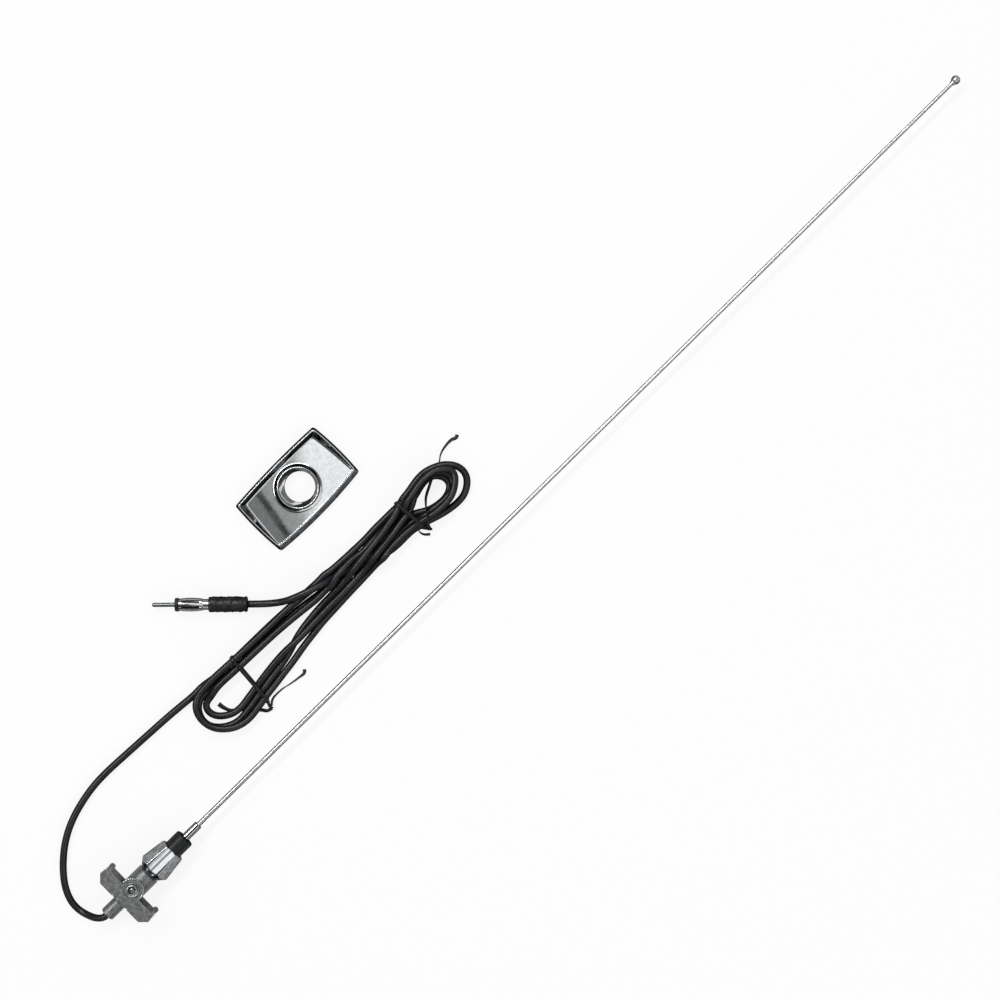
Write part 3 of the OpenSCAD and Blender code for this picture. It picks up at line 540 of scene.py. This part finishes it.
def dish_wall_rings():
    """From the rim down the dish's wall and round its soft lower edge."""
    high = level(bezel_line(inset(RIM_OUT, 1.1)), BEZEL_HIGH - 0.28)
    foot_line = bezel_line(DISH_IN, DISH_LEAN)
    foot = level(foot_line, dish_height(foot_line))
    high[:, 2] = np.maximum(high[:, 2], foot[:, 2] + 0.06)
    wall = foot - high
    wall_length = np.linalg.norm(wall, axis=1)[:, None]
    curl = np.minimum(0.9, 0.4 * wall_length)
    inner = level(DISH_FLOOR, dish_height(DISH_FLOOR))
    inward = (inner - foot) / np.linalg.norm(inner - foot, axis=1)[:, None]
    rings = [high] + [high + wall * share * (1 - curl / wall_length) for share in (0.35, 0.7)]
    start, end = foot - wall / wall_length * curl, foot + inward * curl
    return rings + [soft_corner(start, foot, end, u) for u in np.linspace(0, 1, 6)]


def collar_rings(dish_edge):
    """From the dish's edge across it, up the collar, over its crest and down the seat."""
    rings = []
    for u in (0.02, 0.05, 0.2, 0.35, 0.5, 0.65, 0.8, 0.92, 0.98, 1):
        flat = dish_edge[:, :2] * (1 - u) + ring_at(COLLAR_FOOT) * u
        rings.append(level(flat, dish_height(flat)))
    over = [level(ring_at(radius), COLLAR_TOP - drop) for radius, drop in COLLAR_CREST]
    low = level(ring_at(COLLAR_SIDE), dish_height(ring_at(COLLAR_SIDE)))
    slope = over[0] - low
    start, end = rings[-1], low + slope / np.linalg.norm(slope, axis=1)[:, None] * 0.7
    rings += [soft_corner(start, low, end, u) for u in np.linspace(0, 1, 5)[1:]]
    rings += [end + (over[0] - end) * 0.5, *over]
    seat_top, seat_low = rings[-1], level(ring_at(HOLE_R, HOLE_AT), COLLAR_TOP - SEAT_DEEP)
    for u in (0.25, 0.5, 0.75, 0.92):
        rings.append(seat_top * (1 - u) + seat_low * u + np.array([0, 0, -SEAT_SAG * math.sin(math.pi * u)]))
    return rings


def underside_rings():
    """From the seat down the hole, and under the collar and the dish back to the foot."""
    ceiling = np.minimum(dish_height(ring_at(17.4), SKIN), 5.2)
    under_line = bezel_line(inset(DISH_IN, SKIN), DISH_LEAN)
    return [*(level(ring_at(HOLE_R + wider, HOLE_AT), height) for wider, height in HOLE_EDGES),
            level(ring_at(16.2), 3.0), level(ring_at(17.2), ceiling),
            level(under_line, dish_height(under_line, SKIN)),
            level(bezel_line(inset(FOOT, SKIN)), 0.2), level(bezel_line(inset(FOOT, SKIN - 0.2)), 0.0)]


def bezel_piece():
    rings = rim_rings() + dish_wall_rings()
    rings += collar_rings(rings[-1]) + underside_rings()
    points, faces = rings_surface(rings, closed=True)
    c, s = math.cos(math.radians(BEZEL_TURN)), math.sin(math.radians(BEZEL_TURN))
    x = BEZEL_AT[0] + c * points[:, 0] - s * points[:, 1]
    y = BEZEL_AT[1] + s * points[:, 0] + c * points[:, 1]
    points = np.column_stack([x * MM, y * MM, points[:, 2] * MM + FLOOR])
    piece = new_piece("dished_bezel", points, faces, "aerial")
    sharpen(piece, 62)
    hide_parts("bezel")
    return piece


dished_bezel = bezel_piece()

# Plug boot: soft sleeve with a rolled rear end and shallow creases, in mm along the plug and round it
PLUG_AT, PLUG_ANGLE, PLUG_HIGH = (186.4, 89.1), math.radians(136), 5.75
BOOT_RADIUS, BOOT_LIMIT = 5.72, 5.9
BOOT_PROFILE = [(0.0, 2.7), (0.0, 3.6), (0.1, 4.6), (0.35, 5.35), (0.9, 5.82), (1.5, 5.85), (2.1, 5.5),
                (2.6, 5.22), (3.2, 5.3), (4.0, 5.55)]
BOOT_FRONT = [(27.6, 5.55), (28.1, 5.4), (28.35, 5.1), (28.4, 4.6), (28.4, 4.1), (28.1, 4.04),
              (19.6, 4.04), (19.5, 3.4), (19.4, 2.7)]


def boot_piece():
    turn = all_round(64)
    rings = []
    for t, r in BOOT_PROFILE + [(t, BOOT_RADIUS) for t in np.arange(4.6, 27.4, 0.45)] + BOOT_FRONT:
        crease = 0 * turn
        if r > 5.0 and 1.0 < t < 27.5:
            crease = (0.13 * np.sin(t * 1.15 + 1.6 * np.cos(turn)) + 0.09 * np.sin(t * 2.3 + 2 * turn + 0.7)
                      + 0.08 * np.sin(3 * turn + 0.5 * t) + 0.05 * np.sin(t * 4.1 - turn))
        radius = np.minimum(r + crease * (0.5 if t < 4 else 1), BOOT_LIMIT)
        side, up = radius * np.cos(turn), np.maximum(radius * np.sin(turn), 0.03 - PLUG_HIGH)
        x = PLUG_AT[0] + t * math.cos(PLUG_ANGLE) - side * math.sin(PLUG_ANGLE)
        y = PLUG_AT[1] + t * math.sin(PLUG_ANGLE) + side * math.cos(PLUG_ANGLE)
        rings.append(np.column_stack([x * MM, y * MM, (PLUG_HIGH + up) * MM + FLOOR]))
    piece = new_piece("soft_boot", *rings_surface(rings, closed=True), "aerial")
    sharpen(piece, 60)
    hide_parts("plug_boot")
    return piece


soft_boot = boot_piece()

# Claw: the raised rim on each cheek, round the pivot on the panel side, in bright metal that paints a
# highlight along the boss's edge
PIVOT_X = -16.5
RIM_RADIUS, RIM_HALF = 8.25 * MM, math.radians(104)
CHEEK_FACE = 10.5 * MM


def boss_rim(name, side):
    turn = np.linspace(-RIM_HALF, RIM_HALF, 60)
    line = np.stack([PIVOT_X * MM + RIM_RADIUS * np.cos(turn), RIM_RADIUS * np.sin(turn),
                     np.full(60, side * (CHEEK_FACE + 0.02 * MM))], 1)
    taper = np.clip(np.minimum(turn + RIM_HALF, RIM_HALF - turn) / 0.25, 0.15, 1)
    rim = sweep(name, line, round_section(0.8 * MM, 12), "claw_foot", scale=taper)
    return rim


boss_rims = [boss_rim("boss_rim_top", 1), boss_rim("boss_rim_bottom", -1)]

# Painted highlights: a thin bright bead along the outer end of each arm and round its tooth, whose bright
# metal stands in for the highlight on the cast edge
TOOTH_EDGE = [(-5.6, 24.3), (-4, 24.05), (-2.6, 23.85), (-1.5, 24.1), (-0.6, 23.95), (0.05, 23.3),
              (0.15, 22.5)]


def highlight_bead(name, side, arm):
    points = [((PIVOT_X + x) * MM, arm * y * MM, side * (CHEEK_FACE - 0.12 * MM)) for x, y in TOOTH_EDGE]
    line = smooth_line(np.array(points), 0.5 * MM)
    taper = np.clip(np.minimum(np.arange(len(line)), np.arange(len(line))[::-1]) / 4, 0.2, 1)
    edge = sweep(name, line, round_section(0.75 * MM, 12), "claw_foot", scale=taper)
    return edge


highlight_beads = [highlight_bead(f"highlight_bead_{k}", side, arm)
              for k, (side, arm) in enumerate([(1, 1), (1, -1), (-1, 1), (-1, -1)])]

# Pivot rivets: hollow heads with a rolled rim, a groove and an inner lip, as radius and height in mm
RIVET_PROFILE = [(0.02, 9.75), (0.35, 9.7), (0.7, 9.45), (1.1, 9.2), (1.6, 9.25), (2.0, 9.7),
                 (2.3, 10.3), (2.55, 10.8), (2.8, 11.05), (3.05, 11.1), (3.3, 10.98), (3.6, 10.82),
                 (3.95, 10.8), (4.25, 10.95), (4.5, 11.2), (4.75, 11.36), (5.05, 11.4), (5.3, 11.32),
                 (5.5, 11.1), (5.6, 10.85), (5.6, 10.65), (5.55, 10.6), (3.62, 10.6), (3.58, 10.5),
                 (3.58, 5.4), (3.5, 5.3), (0.02, 5.3)]


def hollow_rivet(name, side, node):
    turn = all_round(72) * side
    rings = []
    for r, z in RIVET_PROFILE:
        height = np.full(len(turn), side * z * MM)
        rings.append(np.stack([(PIVOT_X + r * np.cos(turn)) * MM, r * np.sin(turn) * MM, height], 1))
    rivet = new_piece(name, *rings_surface(rings), "aerial")
    sharpen(rivet, 60)
    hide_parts(node)
    return rivet


hollow_rivets = [hollow_rivet("hollow_rivet_top", 1, "pivot_rivet_top"),
                 hollow_rivet("hollow_rivet_bottom", -1, "pivot_rivet_bottom")]


# Shared effects, as node groups
def new_group(name, inputs, outputs):
    group = bpy.data.node_groups.new(name, "ShaderNodeTree")
    for label, kind, value in inputs:
        group.interface.new_socket(name=label, in_out="INPUT", socket_type=kind).default_value = value
    for label, kind in outputs:
        group.interface.new_socket(name=label, in_out="OUTPUT", socket_type=kind)
    return group, group.nodes.new("NodeGroupInput"), group.nodes.new("NodeGroupOutput")


FLOAT = "NodeSocketFloat"


def add(tree, kind, **settings):
    node = tree.nodes.new(kind)
    for name, value in settings.items():
        setattr(node, name, value)
    return node


def in_a_metre(tree, size):
    """How many times a size in millimetres goes into a metre."""
    times = add(tree, "ShaderNodeMath", operation="DIVIDE")
    times.inputs[0].default_value = 1000.0
    tree.links.new(size, times.inputs[1])
    return times.outputs[0]


def object_noise(tree, size, low, high):
    """Noise over the object, of a size in millimetres, and that noise spread out between two levels."""
    noise = add(tree, "ShaderNodeTexNoise")
    tree.links.new(add(tree, "ShaderNodeTexCoord").outputs["Object"], noise.inputs["Vector"])
    tree.links.new(in_a_metre(tree, size), noise.inputs["Scale"])
    spread = add(tree, "ShaderNodeMapRange")
    spread.inputs["From Min"].default_value = low
    spread.inputs["From Max"].default_value = high
    tree.links.new(noise.outputs["Fac"], spread.inputs["Value"])
    return noise, spread.outputs["Result"]


def grain_group():
    """Fine surface grain: a height, and a mask of lighter and darker specks."""
    g, ins, outs = new_group("fine_grain", [("Size", FLOAT, 1.0), ("Detail", FLOAT, 3.0)],
                             [("Height", FLOAT), ("Specks", FLOAT)])
    noise, specks = object_noise(g, ins.outputs["Size"], 0.35, 0.65)
    g.links.new(ins.outputs["Detail"], noise.inputs["Detail"])
    g.links.new(noise.outputs["Fac"], outs.inputs["Height"])
    g.links.new(specks, outs.inputs["Specks"])
    return g


def patch_group():
    """Broad soft patches, for handling marks, dust and uneven shine."""
    g, ins, outs = new_group("soft_patches", [("Size", FLOAT, 12.0)], [("Patches", FLOAT)])
    noise, patches = object_noise(g, ins.outputs["Size"], 0.38, 0.62)
    noise.inputs["Detail"].default_value = 4.0
    noise.inputs["Distortion"].default_value = 0.6
    g.links.new(patches, outs.inputs["Patches"])
    return g


def draw_line_group():
    """Faint lines along the mast, as drawing and polishing leave them."""
    g, ins, outs = new_group("drawn_lines", [("Spacing", FLOAT, 0.25), ("Stretch", FLOAT, 60.0)],
                             [("Height", FLOAT)])
    across = in_a_metre(g, ins.outputs["Spacing"])
    along = add(g, "ShaderNodeMath", operation="DIVIDE")
    g.links.new(across, along.inputs[0])
    g.links.new(ins.outputs["Stretch"], along.inputs[1])
    sizes = add(g, "ShaderNodeCombineXYZ")
    for axis, size in (("X", along.outputs[0]), ("Y", across), ("Z", across)):
        g.links.new(size, sizes.inputs[axis])
    grow = add(g, "ShaderNodeVectorMath", operation="MULTIPLY")
    g.links.new(add(g, "ShaderNodeTexCoord").outputs["Object"], grow.inputs[0])
    g.links.new(sizes.outputs[0], grow.inputs[1])
    noise = add(g, "ShaderNodeTexNoise")
    noise.inputs["Scale"].default_value = 1.0
    noise.inputs["Detail"].default_value = 2.0
    g.links.new(grow.outputs[0], noise.inputs["Vector"])
    g.links.new(noise.outputs["Fac"], outs.inputs["Height"])
    return g


def side_group():
    """How far a surface faces up: 1 on top, 0 down its sides. The metals paint shade down their sides with
    it, and the plastics fade their coat with it.
    """
    g, ins, outs = new_group("facing_up_mask", [("Low", FLOAT, 0.35), ("High", FLOAT, 0.75)],
                             [("Bright", FLOAT)])
    place = add(g, "ShaderNodeTexCoord")
    parts = add(g, "ShaderNodeSeparateXYZ")
    g.links.new(place.outputs["Normal"], parts.inputs[0])
    level_part = add(g, "ShaderNodeMath", operation="ABSOLUTE")
    g.links.new(parts.outputs["Z"], level_part.inputs[0])
    spread = add(g, "ShaderNodeMapRange", interpolation_type="SMOOTHSTEP")
    g.links.new(level_part.outputs[0], spread.inputs["Value"])
    g.links.new(ins.outputs["Low"], spread.inputs["From Min"])
    g.links.new(ins.outputs["High"], spread.inputs["From Max"])
    g.links.new(spread.outputs["Result"], outs.inputs["Bright"])
    return g


GRAIN, PATCHES, LINES, SIDES = grain_group(), patch_group(), draw_line_group(), side_group()


# Finishes
def place_group(tree, group, **values):
    node = add(tree, "ShaderNodeGroup")
    node.node_tree = group
    for name, value in values.items():
        node.inputs[name].default_value = value
    return node


def colour_mix(tree, low, high, mask):
    mix = add(tree, "ShaderNodeMix", data_type="RGBA")
    mix.inputs["A"].default_value = (*low, 1)
    mix.inputs["B"].default_value = (*high, 1)
    tree.links.new(mask, mix.inputs["Factor"])
    return mix.outputs["Result"]


def value_range(tree, low, high, mask):
    spread = add(tree, "ShaderNodeMapRange")
    spread.inputs["To Min"].default_value = low
    spread.inputs["To Max"].default_value = high
    tree.links.new(mask, spread.inputs["Value"])
    return spread.outputs["Result"]


def scaled(tree, value, factor, plus=None):
    """The value times the factor, with another value added to it if there is one."""
    node = add(tree, "ShaderNodeMath", operation="MULTIPLY" if plus is None else "MULTIPLY_ADD")
    tree.links.new(value, node.inputs[0])
    node.inputs[1].default_value = factor
    if plus is not None:
        tree.links.new(plus, node.inputs[2])
    return node.outputs[0]


def bump(tree, height, depth):
    """Bumps of a depth in millimetres."""
    node = add(tree, "ShaderNodeBump")
    node.inputs["Strength"].default_value = 1.0
    node.inputs["Distance"].default_value = depth * MM
    tree.links.new(height, node.inputs["Height"])
    return node.outputs["Normal"]


def new_finish(name, metallic):
    material = bpy.data.materials.new(name)
    material.use_nodes = True
    tree = material.node_tree
    shader = tree.nodes["Principled BSDF"]
    shader.inputs["Metallic"].default_value = metallic
    shader.inputs["IOR"].default_value = 1.5
    return material, tree, shader


def cast_metal(name, dark, light):
    """As-cast zinc: sandy grain, painted shade down its sides, darker patches, dull shine."""
    material, tree, shader = new_finish(name, 0.7)
    specks = place_group(tree, GRAIN, Size=0.3, Detail=5.0)
    patches = place_group(tree, PATCHES, Size=2.2)
    top = place_group(tree, SIDES, Low=0.5, High=0.98)
    # Painted light and shade: faces that point up are made lighter, those down the sides darker
    lit = scaled(tree, top.outputs["Bright"], 0.33)
    patchy = scaled(tree, patches.outputs["Patches"], 0.22, plus=lit)
    sandy = scaled(tree, specks.outputs["Specks"], 0.45, plus=patchy)
    tree.links.new(colour_mix(tree, dark, light, sandy), shader.inputs["Base Color"])
    tree.links.new(value_range(tree, 0.34, 0.5, patches.outputs["Patches"]), shader.inputs["Roughness"])
    tree.links.new(bump(tree, specks.outputs["Height"], 0.045), shader.inputs["Normal"])
    return material


# How bright the handled patches on top of a bright metal are, against the clean ones
HANDLED = 0.84


def bright_metal(name, shaded_side_colour, top_colour, rough, low=0.3, high=0.75, line_depth=0.0, ripple_depth=0.006,
                 edge=0.2, mottle=1.0):
    """Plated or polished metal, with painted shade, mottled, down its sides, and faint marks of handling."""
    material, tree, shader = new_finish(name, 1.0)
    shader.inputs["Specular Tint"].default_value = (edge, edge, edge, 1)
    top = place_group(tree, SIDES, Low=low, High=high)
    patches = place_group(tree, PATCHES, Size=9.0)
    small = place_group(tree, PATCHES, Size=2.6)
    # Painted shade: the sides get the dark shaded colour, mottled in patches, and the tops the metal's own
    # colour
    side = colour_mix(tree, shaded_side_colour, tuple(c * mottle for c in shaded_side_colour), small.outputs["Patches"])
    dull_top = tuple(c * HANDLED for c in top_colour)
    colour = add(tree, "ShaderNodeMix", data_type="RGBA")
    tree.links.new(colour_mix(tree, dull_top, top_colour, small.outputs["Patches"]), colour.inputs["B"])
    tree.links.new(side, colour.inputs["A"])
    tree.links.new(top.outputs["Bright"], colour.inputs["Factor"])
    tree.links.new(colour.outputs["Result"], shader.inputs["Base Color"])
    uneven = value_range(tree, rough, rough * 1.7, patches.outputs["Patches"])
    tree.links.new(uneven, shader.inputs["Roughness"])
    if line_depth:
        lines = place_group(tree, LINES)
        tree.links.new(bump(tree, lines.outputs["Height"], line_depth), shader.inputs["Normal"])
    else:
        ripple = place_group(tree, GRAIN, Size=2.5, Detail=1.0)
        tree.links.new(bump(tree, ripple.outputs["Height"], ripple_depth), shader.inputs["Normal"])
    return material


def moulded(name, dark, light, rough_low, rough_high, shine=1.0, low=0.2, high=0.8, grain=0.3, depth=0.02):
    """Moulded plastic or rubber: fine grain, and a soft shine, all in its coat, that fades down its sides."""
    material, tree, shader = new_finish(name, 0.0)
    specks = place_group(tree, GRAIN, Size=grain)
    patches = place_group(tree, PATCHES, Size=7.0)
    tree.links.new(colour_mix(tree, dark, light, patches.outputs["Patches"]), shader.inputs["Base Color"])
    uneven = value_range(tree, rough_low, rough_high, patches.outputs["Patches"])
    tree.links.new(uneven, shader.inputs["Roughness"])
    tree.links.new(bump(tree, specks.outputs["Height"], depth), shader.inputs["Normal"])
    top = place_group(tree, SIDES, Low=low, High=high)
    tree.links.new(value_range(tree, 0.0, shine, top.outputs["Bright"]), shader.inputs["Coat Weight"])
    shader.inputs["Coat Roughness"].default_value = (rough_low + rough_high) / 2
    shader.inputs["Specular IOR Level"].default_value = 0.0
    return material


# SHADED_SIDE and the first colour of each bright metal below are painted shade down the metals' sides; the
# second is the metal's own colour, on top
MIRROR, SHADED_SIDE = (0.88, 0.90, 0.91), (0.05, 0.055, 0.055)
SOOT, SOFT_BLACK = (0.009, 0.009, 0.010), (0.018, 0.018, 0.020)

DIE_CAST = cast_metal("as_cast_zinc", (0.03, 0.032, 0.034), (0.35, 0.36, 0.365))
RIVET_STEEL = bright_metal("plated_rivet", SHADED_SIDE, (0.42, 0.44, 0.44), 0.22, low=0.55, high=0.99)
# Painted highlight: a near-mirror metal for the claw's rims and beads, far brighter than the cast zinc they
# lie on
PAINTED_HIGHLIGHT = bright_metal("painted_highlight_metal", (0.06, 0.065, 0.065), (0.85, 0.87, 0.87), 0.2, low=0.15, high=0.8)
NUT_CHROME = bright_metal("nut_chrome", (0.17, 0.175, 0.18), MIRROR, 0.035, low=0.6, high=0.97,
                          ripple_depth=0.002, mottle=2.0)
BEZEL_CHROME = bright_metal("bezel_chrome", (0.15, 0.155, 0.16), MIRROR, 0.025, low=0.7, high=0.985,
                            ripple_depth=0.002, mottle=1.6, edge=0.0)
FERRULE_CHROME = bright_metal("ferrule_chrome", (0.03, 0.035, 0.04), MIRROR, 0.05, low=0.45, high=0.9,
                              ripple_depth=0.002)
NICKEL = bright_metal("bright_nickel", SHADED_SIDE, (0.84, 0.86, 0.85), 0.08, low=0.4, high=0.9)
PIN_METAL = bright_metal("dull_pin", SHADED_SIDE, (0.34, 0.36, 0.36), 0.25, low=0.5, high=0.95)
STEEL = bright_metal("drawn_steel", (0.05, 0.053, 0.055), (0.86, 0.88, 0.88), 0.2, low=0.45, high=0.9,
                     ripple_depth=0.002)
BRASS = bright_metal("turned_brass", (0.30, 0.21, 0.08), (0.78, 0.60, 0.30), 0.25, line_depth=0.01)
COPPER = bright_metal("tinned_copper", (0.32, 0.16, 0.09), (0.80, 0.50, 0.36), 0.3, line_depth=0.01)
BLACK_PLASTIC = moulded("satin_black_plastic", (0.010, 0.011, 0.012), (0.018, 0.019, 0.021), 0.32, 0.42,
                        shine=0.6)
NYLON = moulded("natural_nylon", (0.72, 0.69, 0.60), (0.84, 0.82, 0.75), 0.4, 0.5)
SEAL_RUBBER = moulded("seal_rubber", (0.015, 0.015, 0.015), (0.03, 0.03, 0.03), 0.7, 0.85, shine=0.6)
BOOT_VINYL = moulded("boot_vinyl", SOOT, SOFT_BLACK, 0.26, 0.4, shine=0.8, low=0.4, high=1.0,
                     grain=1.4, depth=0.035)
JACKET = moulded("cable_jacket", (0.010, 0.0105, 0.012), (0.017, 0.0175, 0.020), 0.24, 0.32, low=0.5,
                 high=1.0, grain=1.6, depth=0.004)
TIE_PLASTIC = moulded("tie_plastic", SOOT, SOFT_BLACK, 0.26, 0.36, shine=0.6)
WHITE_CORE = moulded("white_core", (0.82, 0.81, 0.77), (0.9, 0.89, 0.86), 0.4, 0.5)

NODE_FINISH = {
    DIE_CAST: ["mount_body", "claw", "cable_ferrule"], RIVET_STEEL: ["pivot_rivet_top", "pivot_rivet_bottom"],
    NUT_CHROME: ["clamp_nut"], FERRULE_CHROME: ["mast_ferrule"], BEZEL_CHROME: ["bezel"],
    NICKEL: ["plug_shell"], PIN_METAL: ["plug_pin"], STEEL: ["whip", "tip_ball"],
    BRASS: ["contact_rod"], COPPER: ["centre_conductor", "braid"],
    BLACK_PLASTIC: ["insulator", "plug_flange", "plug_core"], NYLON: ["lower_bush"],
    SEAL_RUBBER: ["spigot_seal"], BOOT_VINYL: ["plug_boot"],
    JACKET: ["jacket_end", "plug_cable_end"], WHITE_CORE: ["dielectric"]}
PIECE_FINISH = {
    JACKET: [cable], TIE_PLASTIC: [lower_tie, upper_tie], BOOT_VINYL: [soft_boot], NUT_CHROME: [crowned_nut],
    BEZEL_CHROME: [dished_bezel], PAINTED_HIGHLIGHT: boss_rims + highlight_beads, RIVET_STEEL: hollow_rivets}


def paint(piece, material):
    piece.data.materials.clear()
    piece.data.materials.append(material)


for finish, nodes in NODE_FINISH.items():
    for node in nodes:
        paint(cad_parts[node], finish)
for finish, pieces in PIECE_FINISH.items():
    for piece in pieces:
        paint(piece, finish)


# Floor and light
FLOOR_WHITE = 0.85
ROOM_SIDE, ROOM_BASE, ROOM_TIP, ROOM_ENDS = 3.2, -3.2, 4.2, (-4, 5)
CEILING, LOW_WALL, WALL_GREY = 2.4, 2.2, 0.06


def background_rays(tree):
    """1 for rays from the camera, mirrors and glass, which see the plain background."""
    ray = add(tree, "ShaderNodeLightPath")
    total = ray.outputs["Is Camera Ray"]
    for label in ("Is Glossy Ray", "Is Transmission Ray"):
        either = add(tree, "ShaderNodeMath", operation="MAXIMUM")
        tree.links.new(total, either.inputs[0])
        tree.links.new(ray.outputs[label], either.inputs[1])
        total = either.outputs[0]
    return total


def stage_sheet(name, corners, material):
    mesh = bpy.data.meshes.new(name)
    mesh.from_pydata(corners, [], [tuple(range(len(corners)))])
    sheet = bpy.data.objects.new(name, mesh)
    bpy.context.scene.collection.objects.link(sheet)
    mesh.materials.append(material)
    return sheet


def plain_floor():
    """Pale floor: part plain white background, part lit surface that keeps the shadows."""
    material, tree, shader = new_finish("pale_floor", 0.0)
    shader.inputs["Base Color"].default_value = (0.94, 0.94, 0.94, 1)
    shader.inputs["Roughness"].default_value = 0.9
    white = add(tree, "ShaderNodeEmission")
    mix = add(tree, "ShaderNodeMixShader")
    tree.links.new(scaled(tree, background_rays(tree), FLOOR_WHITE), mix.inputs[0])
    tree.links.new(shader.outputs[0], mix.inputs[1])
    tree.links.new(white.outputs[0], mix.inputs[2])
    tree.links.new(mix.outputs[0], tree.nodes["Material Output"].inputs["Surface"])
    stage_sheet("floor", [(-4, -4, FLOOR), (5, -4, FLOOR), (5, 4, FLOOR), (-4, 4, FLOOR)], material)


def mirror_card(name, corners, start, end=None, reach=None, lean=0.0):
    """A card that only mirrors see, plain grey or fading from start to end along X less lean times Y."""
    material, tree, shader = new_finish(name, 0.0)
    shader.inputs["Base Color"].default_value = (0, 0, 0, 1)
    shader.inputs["Roughness"].default_value = 1.0
    shader.inputs["Specular IOR Level"].default_value = 0.0
    shader.inputs["Emission Strength"].default_value = 1.0
    shader.inputs["Emission Color"].default_value = (start, start * 1.02, start * 1.02, 1)
    if end is not None:
        place = add(tree, "ShaderNodeTexCoord")
        across = add(tree, "ShaderNodeVectorMath", operation="DOT_PRODUCT")
        tree.links.new(place.outputs["Object"], across.inputs[0])
        across.inputs[1].default_value = (1, -lean, 0)
        fade = add(tree, "ShaderNodeMapRange", interpolation_type="SMOOTHSTEP")
        fade.inputs["From Min"].default_value, fade.inputs["From Max"].default_value = reach
        tree.links.new(across.outputs["Value"], fade.inputs["Value"])
        grey = colour_mix(tree, (start, start, start), (end, end, end), fade.outputs["Result"])
        tree.links.new(grey, shader.inputs["Emission Color"])
    card = stage_sheet(name, corners, material)
    card.visible_camera = card.visible_diffuse = card.visible_shadow = False
    card.visible_transmission = card.visible_volume_scatter = False


def ceiling_card(name, x, y, start, end=None, reach=None, skew=0.0, lean=0.0):
    """Card overhead from x[0] to x[1] and y[0] to y[1], with its ends skewed along X."""
    shift = skew * (y[1] - y[0])
    near, far = [(x[0], y[0]), (x[1], y[0])], [(x[1] + shift, y[1]), (x[0] + shift, y[1])]
    mirror_card(name, [(*corner, CEILING) for corner in near + far], start, end, reach, lean)


def wall_card(name, a, b, low, high, *greys):
    """Upright card over the line from a to b."""
    mirror_card(name, [(*a, low), (*b, low), (*b, high), (*a, high)], *greys)


plain_floor()
ceiling_card("dark_over_ferrule", (-3, -0.15), (-1.6, 1.6), 0.05)
ceiling_card("line_over_nut", (-0.15, 0.45), (-0.05, 0.08), 0.3)
ceiling_card("edge_over_nut_far", (-0.15, 0.45), (0.335, 0.51), 0.08)
ceiling_card("edge_over_nut_near", (-0.15, 0.45), (-0.8, -0.35), 0.08)
ceiling_card("soft_over_rim", (-0.02, 0.32), (0.19, 0.33), 0.55)
ceiling_card("grey_over_dish", (-0.6, -0.071), (0.52, 1.0), 0.2, skew=0.36)
ceiling_card("streak_over_dish", (-0.071, -0.047), (0.52, 1.0), 0.05, skew=0.36)
ceiling_card("half_over_dish", (-0.047, 0.36), (0.52, 1.0), 0.34, 0.96, (-0.87, -0.77), skew=0.36, lean=1.4)
ceiling_card("dark_over_tip", (0.55, 4), (-1.7, 1.7), 1.0, 0.2, (0.6, 1.45))
for name, y in (("dark_far_wall", ROOM_SIDE), ("dark_near_wall", -ROOM_SIDE)):
    wall_card(name, (ROOM_ENDS[0], y), (ROOM_ENDS[1], y), FLOOR, LOW_WALL, WALL_GREY)
for name, x, grey in (("grey_tip_wall", ROOM_TIP, 0.3), ("dark_base_wall", ROOM_BASE, WALL_GREY)):
    wall_card(name, (x, -ROOM_SIDE), (x, ROOM_SIDE), FLOOR, LOW_WALL, grey)
wall_card("high_near_wall", (-2, -3.15), (3, -3.15), 1.5, 2.6, 0.04, 0.16, (-0.1, 0.4))

world = bpy.data.worlds.new("studio")
bpy.context.scene.world = world
world.use_nodes = True
sky = world.node_tree
ambient = sky.nodes["Background"]
ambient.inputs["Color"].default_value = (1, 1, 1, 1)
ambient.inputs["Strength"].default_value = 0.5
plain_white = add(sky, "ShaderNodeBackground")
plain_white.inputs["Color"].default_value = (1, 1, 1, 1)
choose = add(sky, "ShaderNodeMixShader")
sky.links.new(background_rays(sky), choose.inputs[0])
sky.links.new(ambient.outputs[0], choose.inputs[1])
sky.links.new(plain_white.outputs[0], choose.inputs[2])
sky.links.new(choose.outputs[0], sky.nodes["World Output"].inputs["Surface"])


def soft_lamp(name, place, aim, width, length, power):
    data = bpy.data.lights.new(name, "AREA")
    data.shape = "RECTANGLE"
    data.size, data.size_y = width, length
    data.energy = power
    lamp = bpy.data.objects.new(name, data)
    lamp.location = place
    lamp.rotation_euler = (Vector(aim) - Vector(place)).to_track_quat("-Z", "Y").to_euler()
    bpy.context.scene.collection.objects.link(lamp)
    return lamp


soft_lamp("lamp_far_side", (0.37, 1.3, 1.9), (0.37, 0, 0), 3.0, 0.25, 26)
near_lamp = soft_lamp("lamp_near_side", (0.37, -1.6, 1.4), (0.37, 0, 0), 3.0, 1.0, 14)
near_lamp.visible_glossy = False

bpy.context.scene.view_settings.view_transform = "Standard"
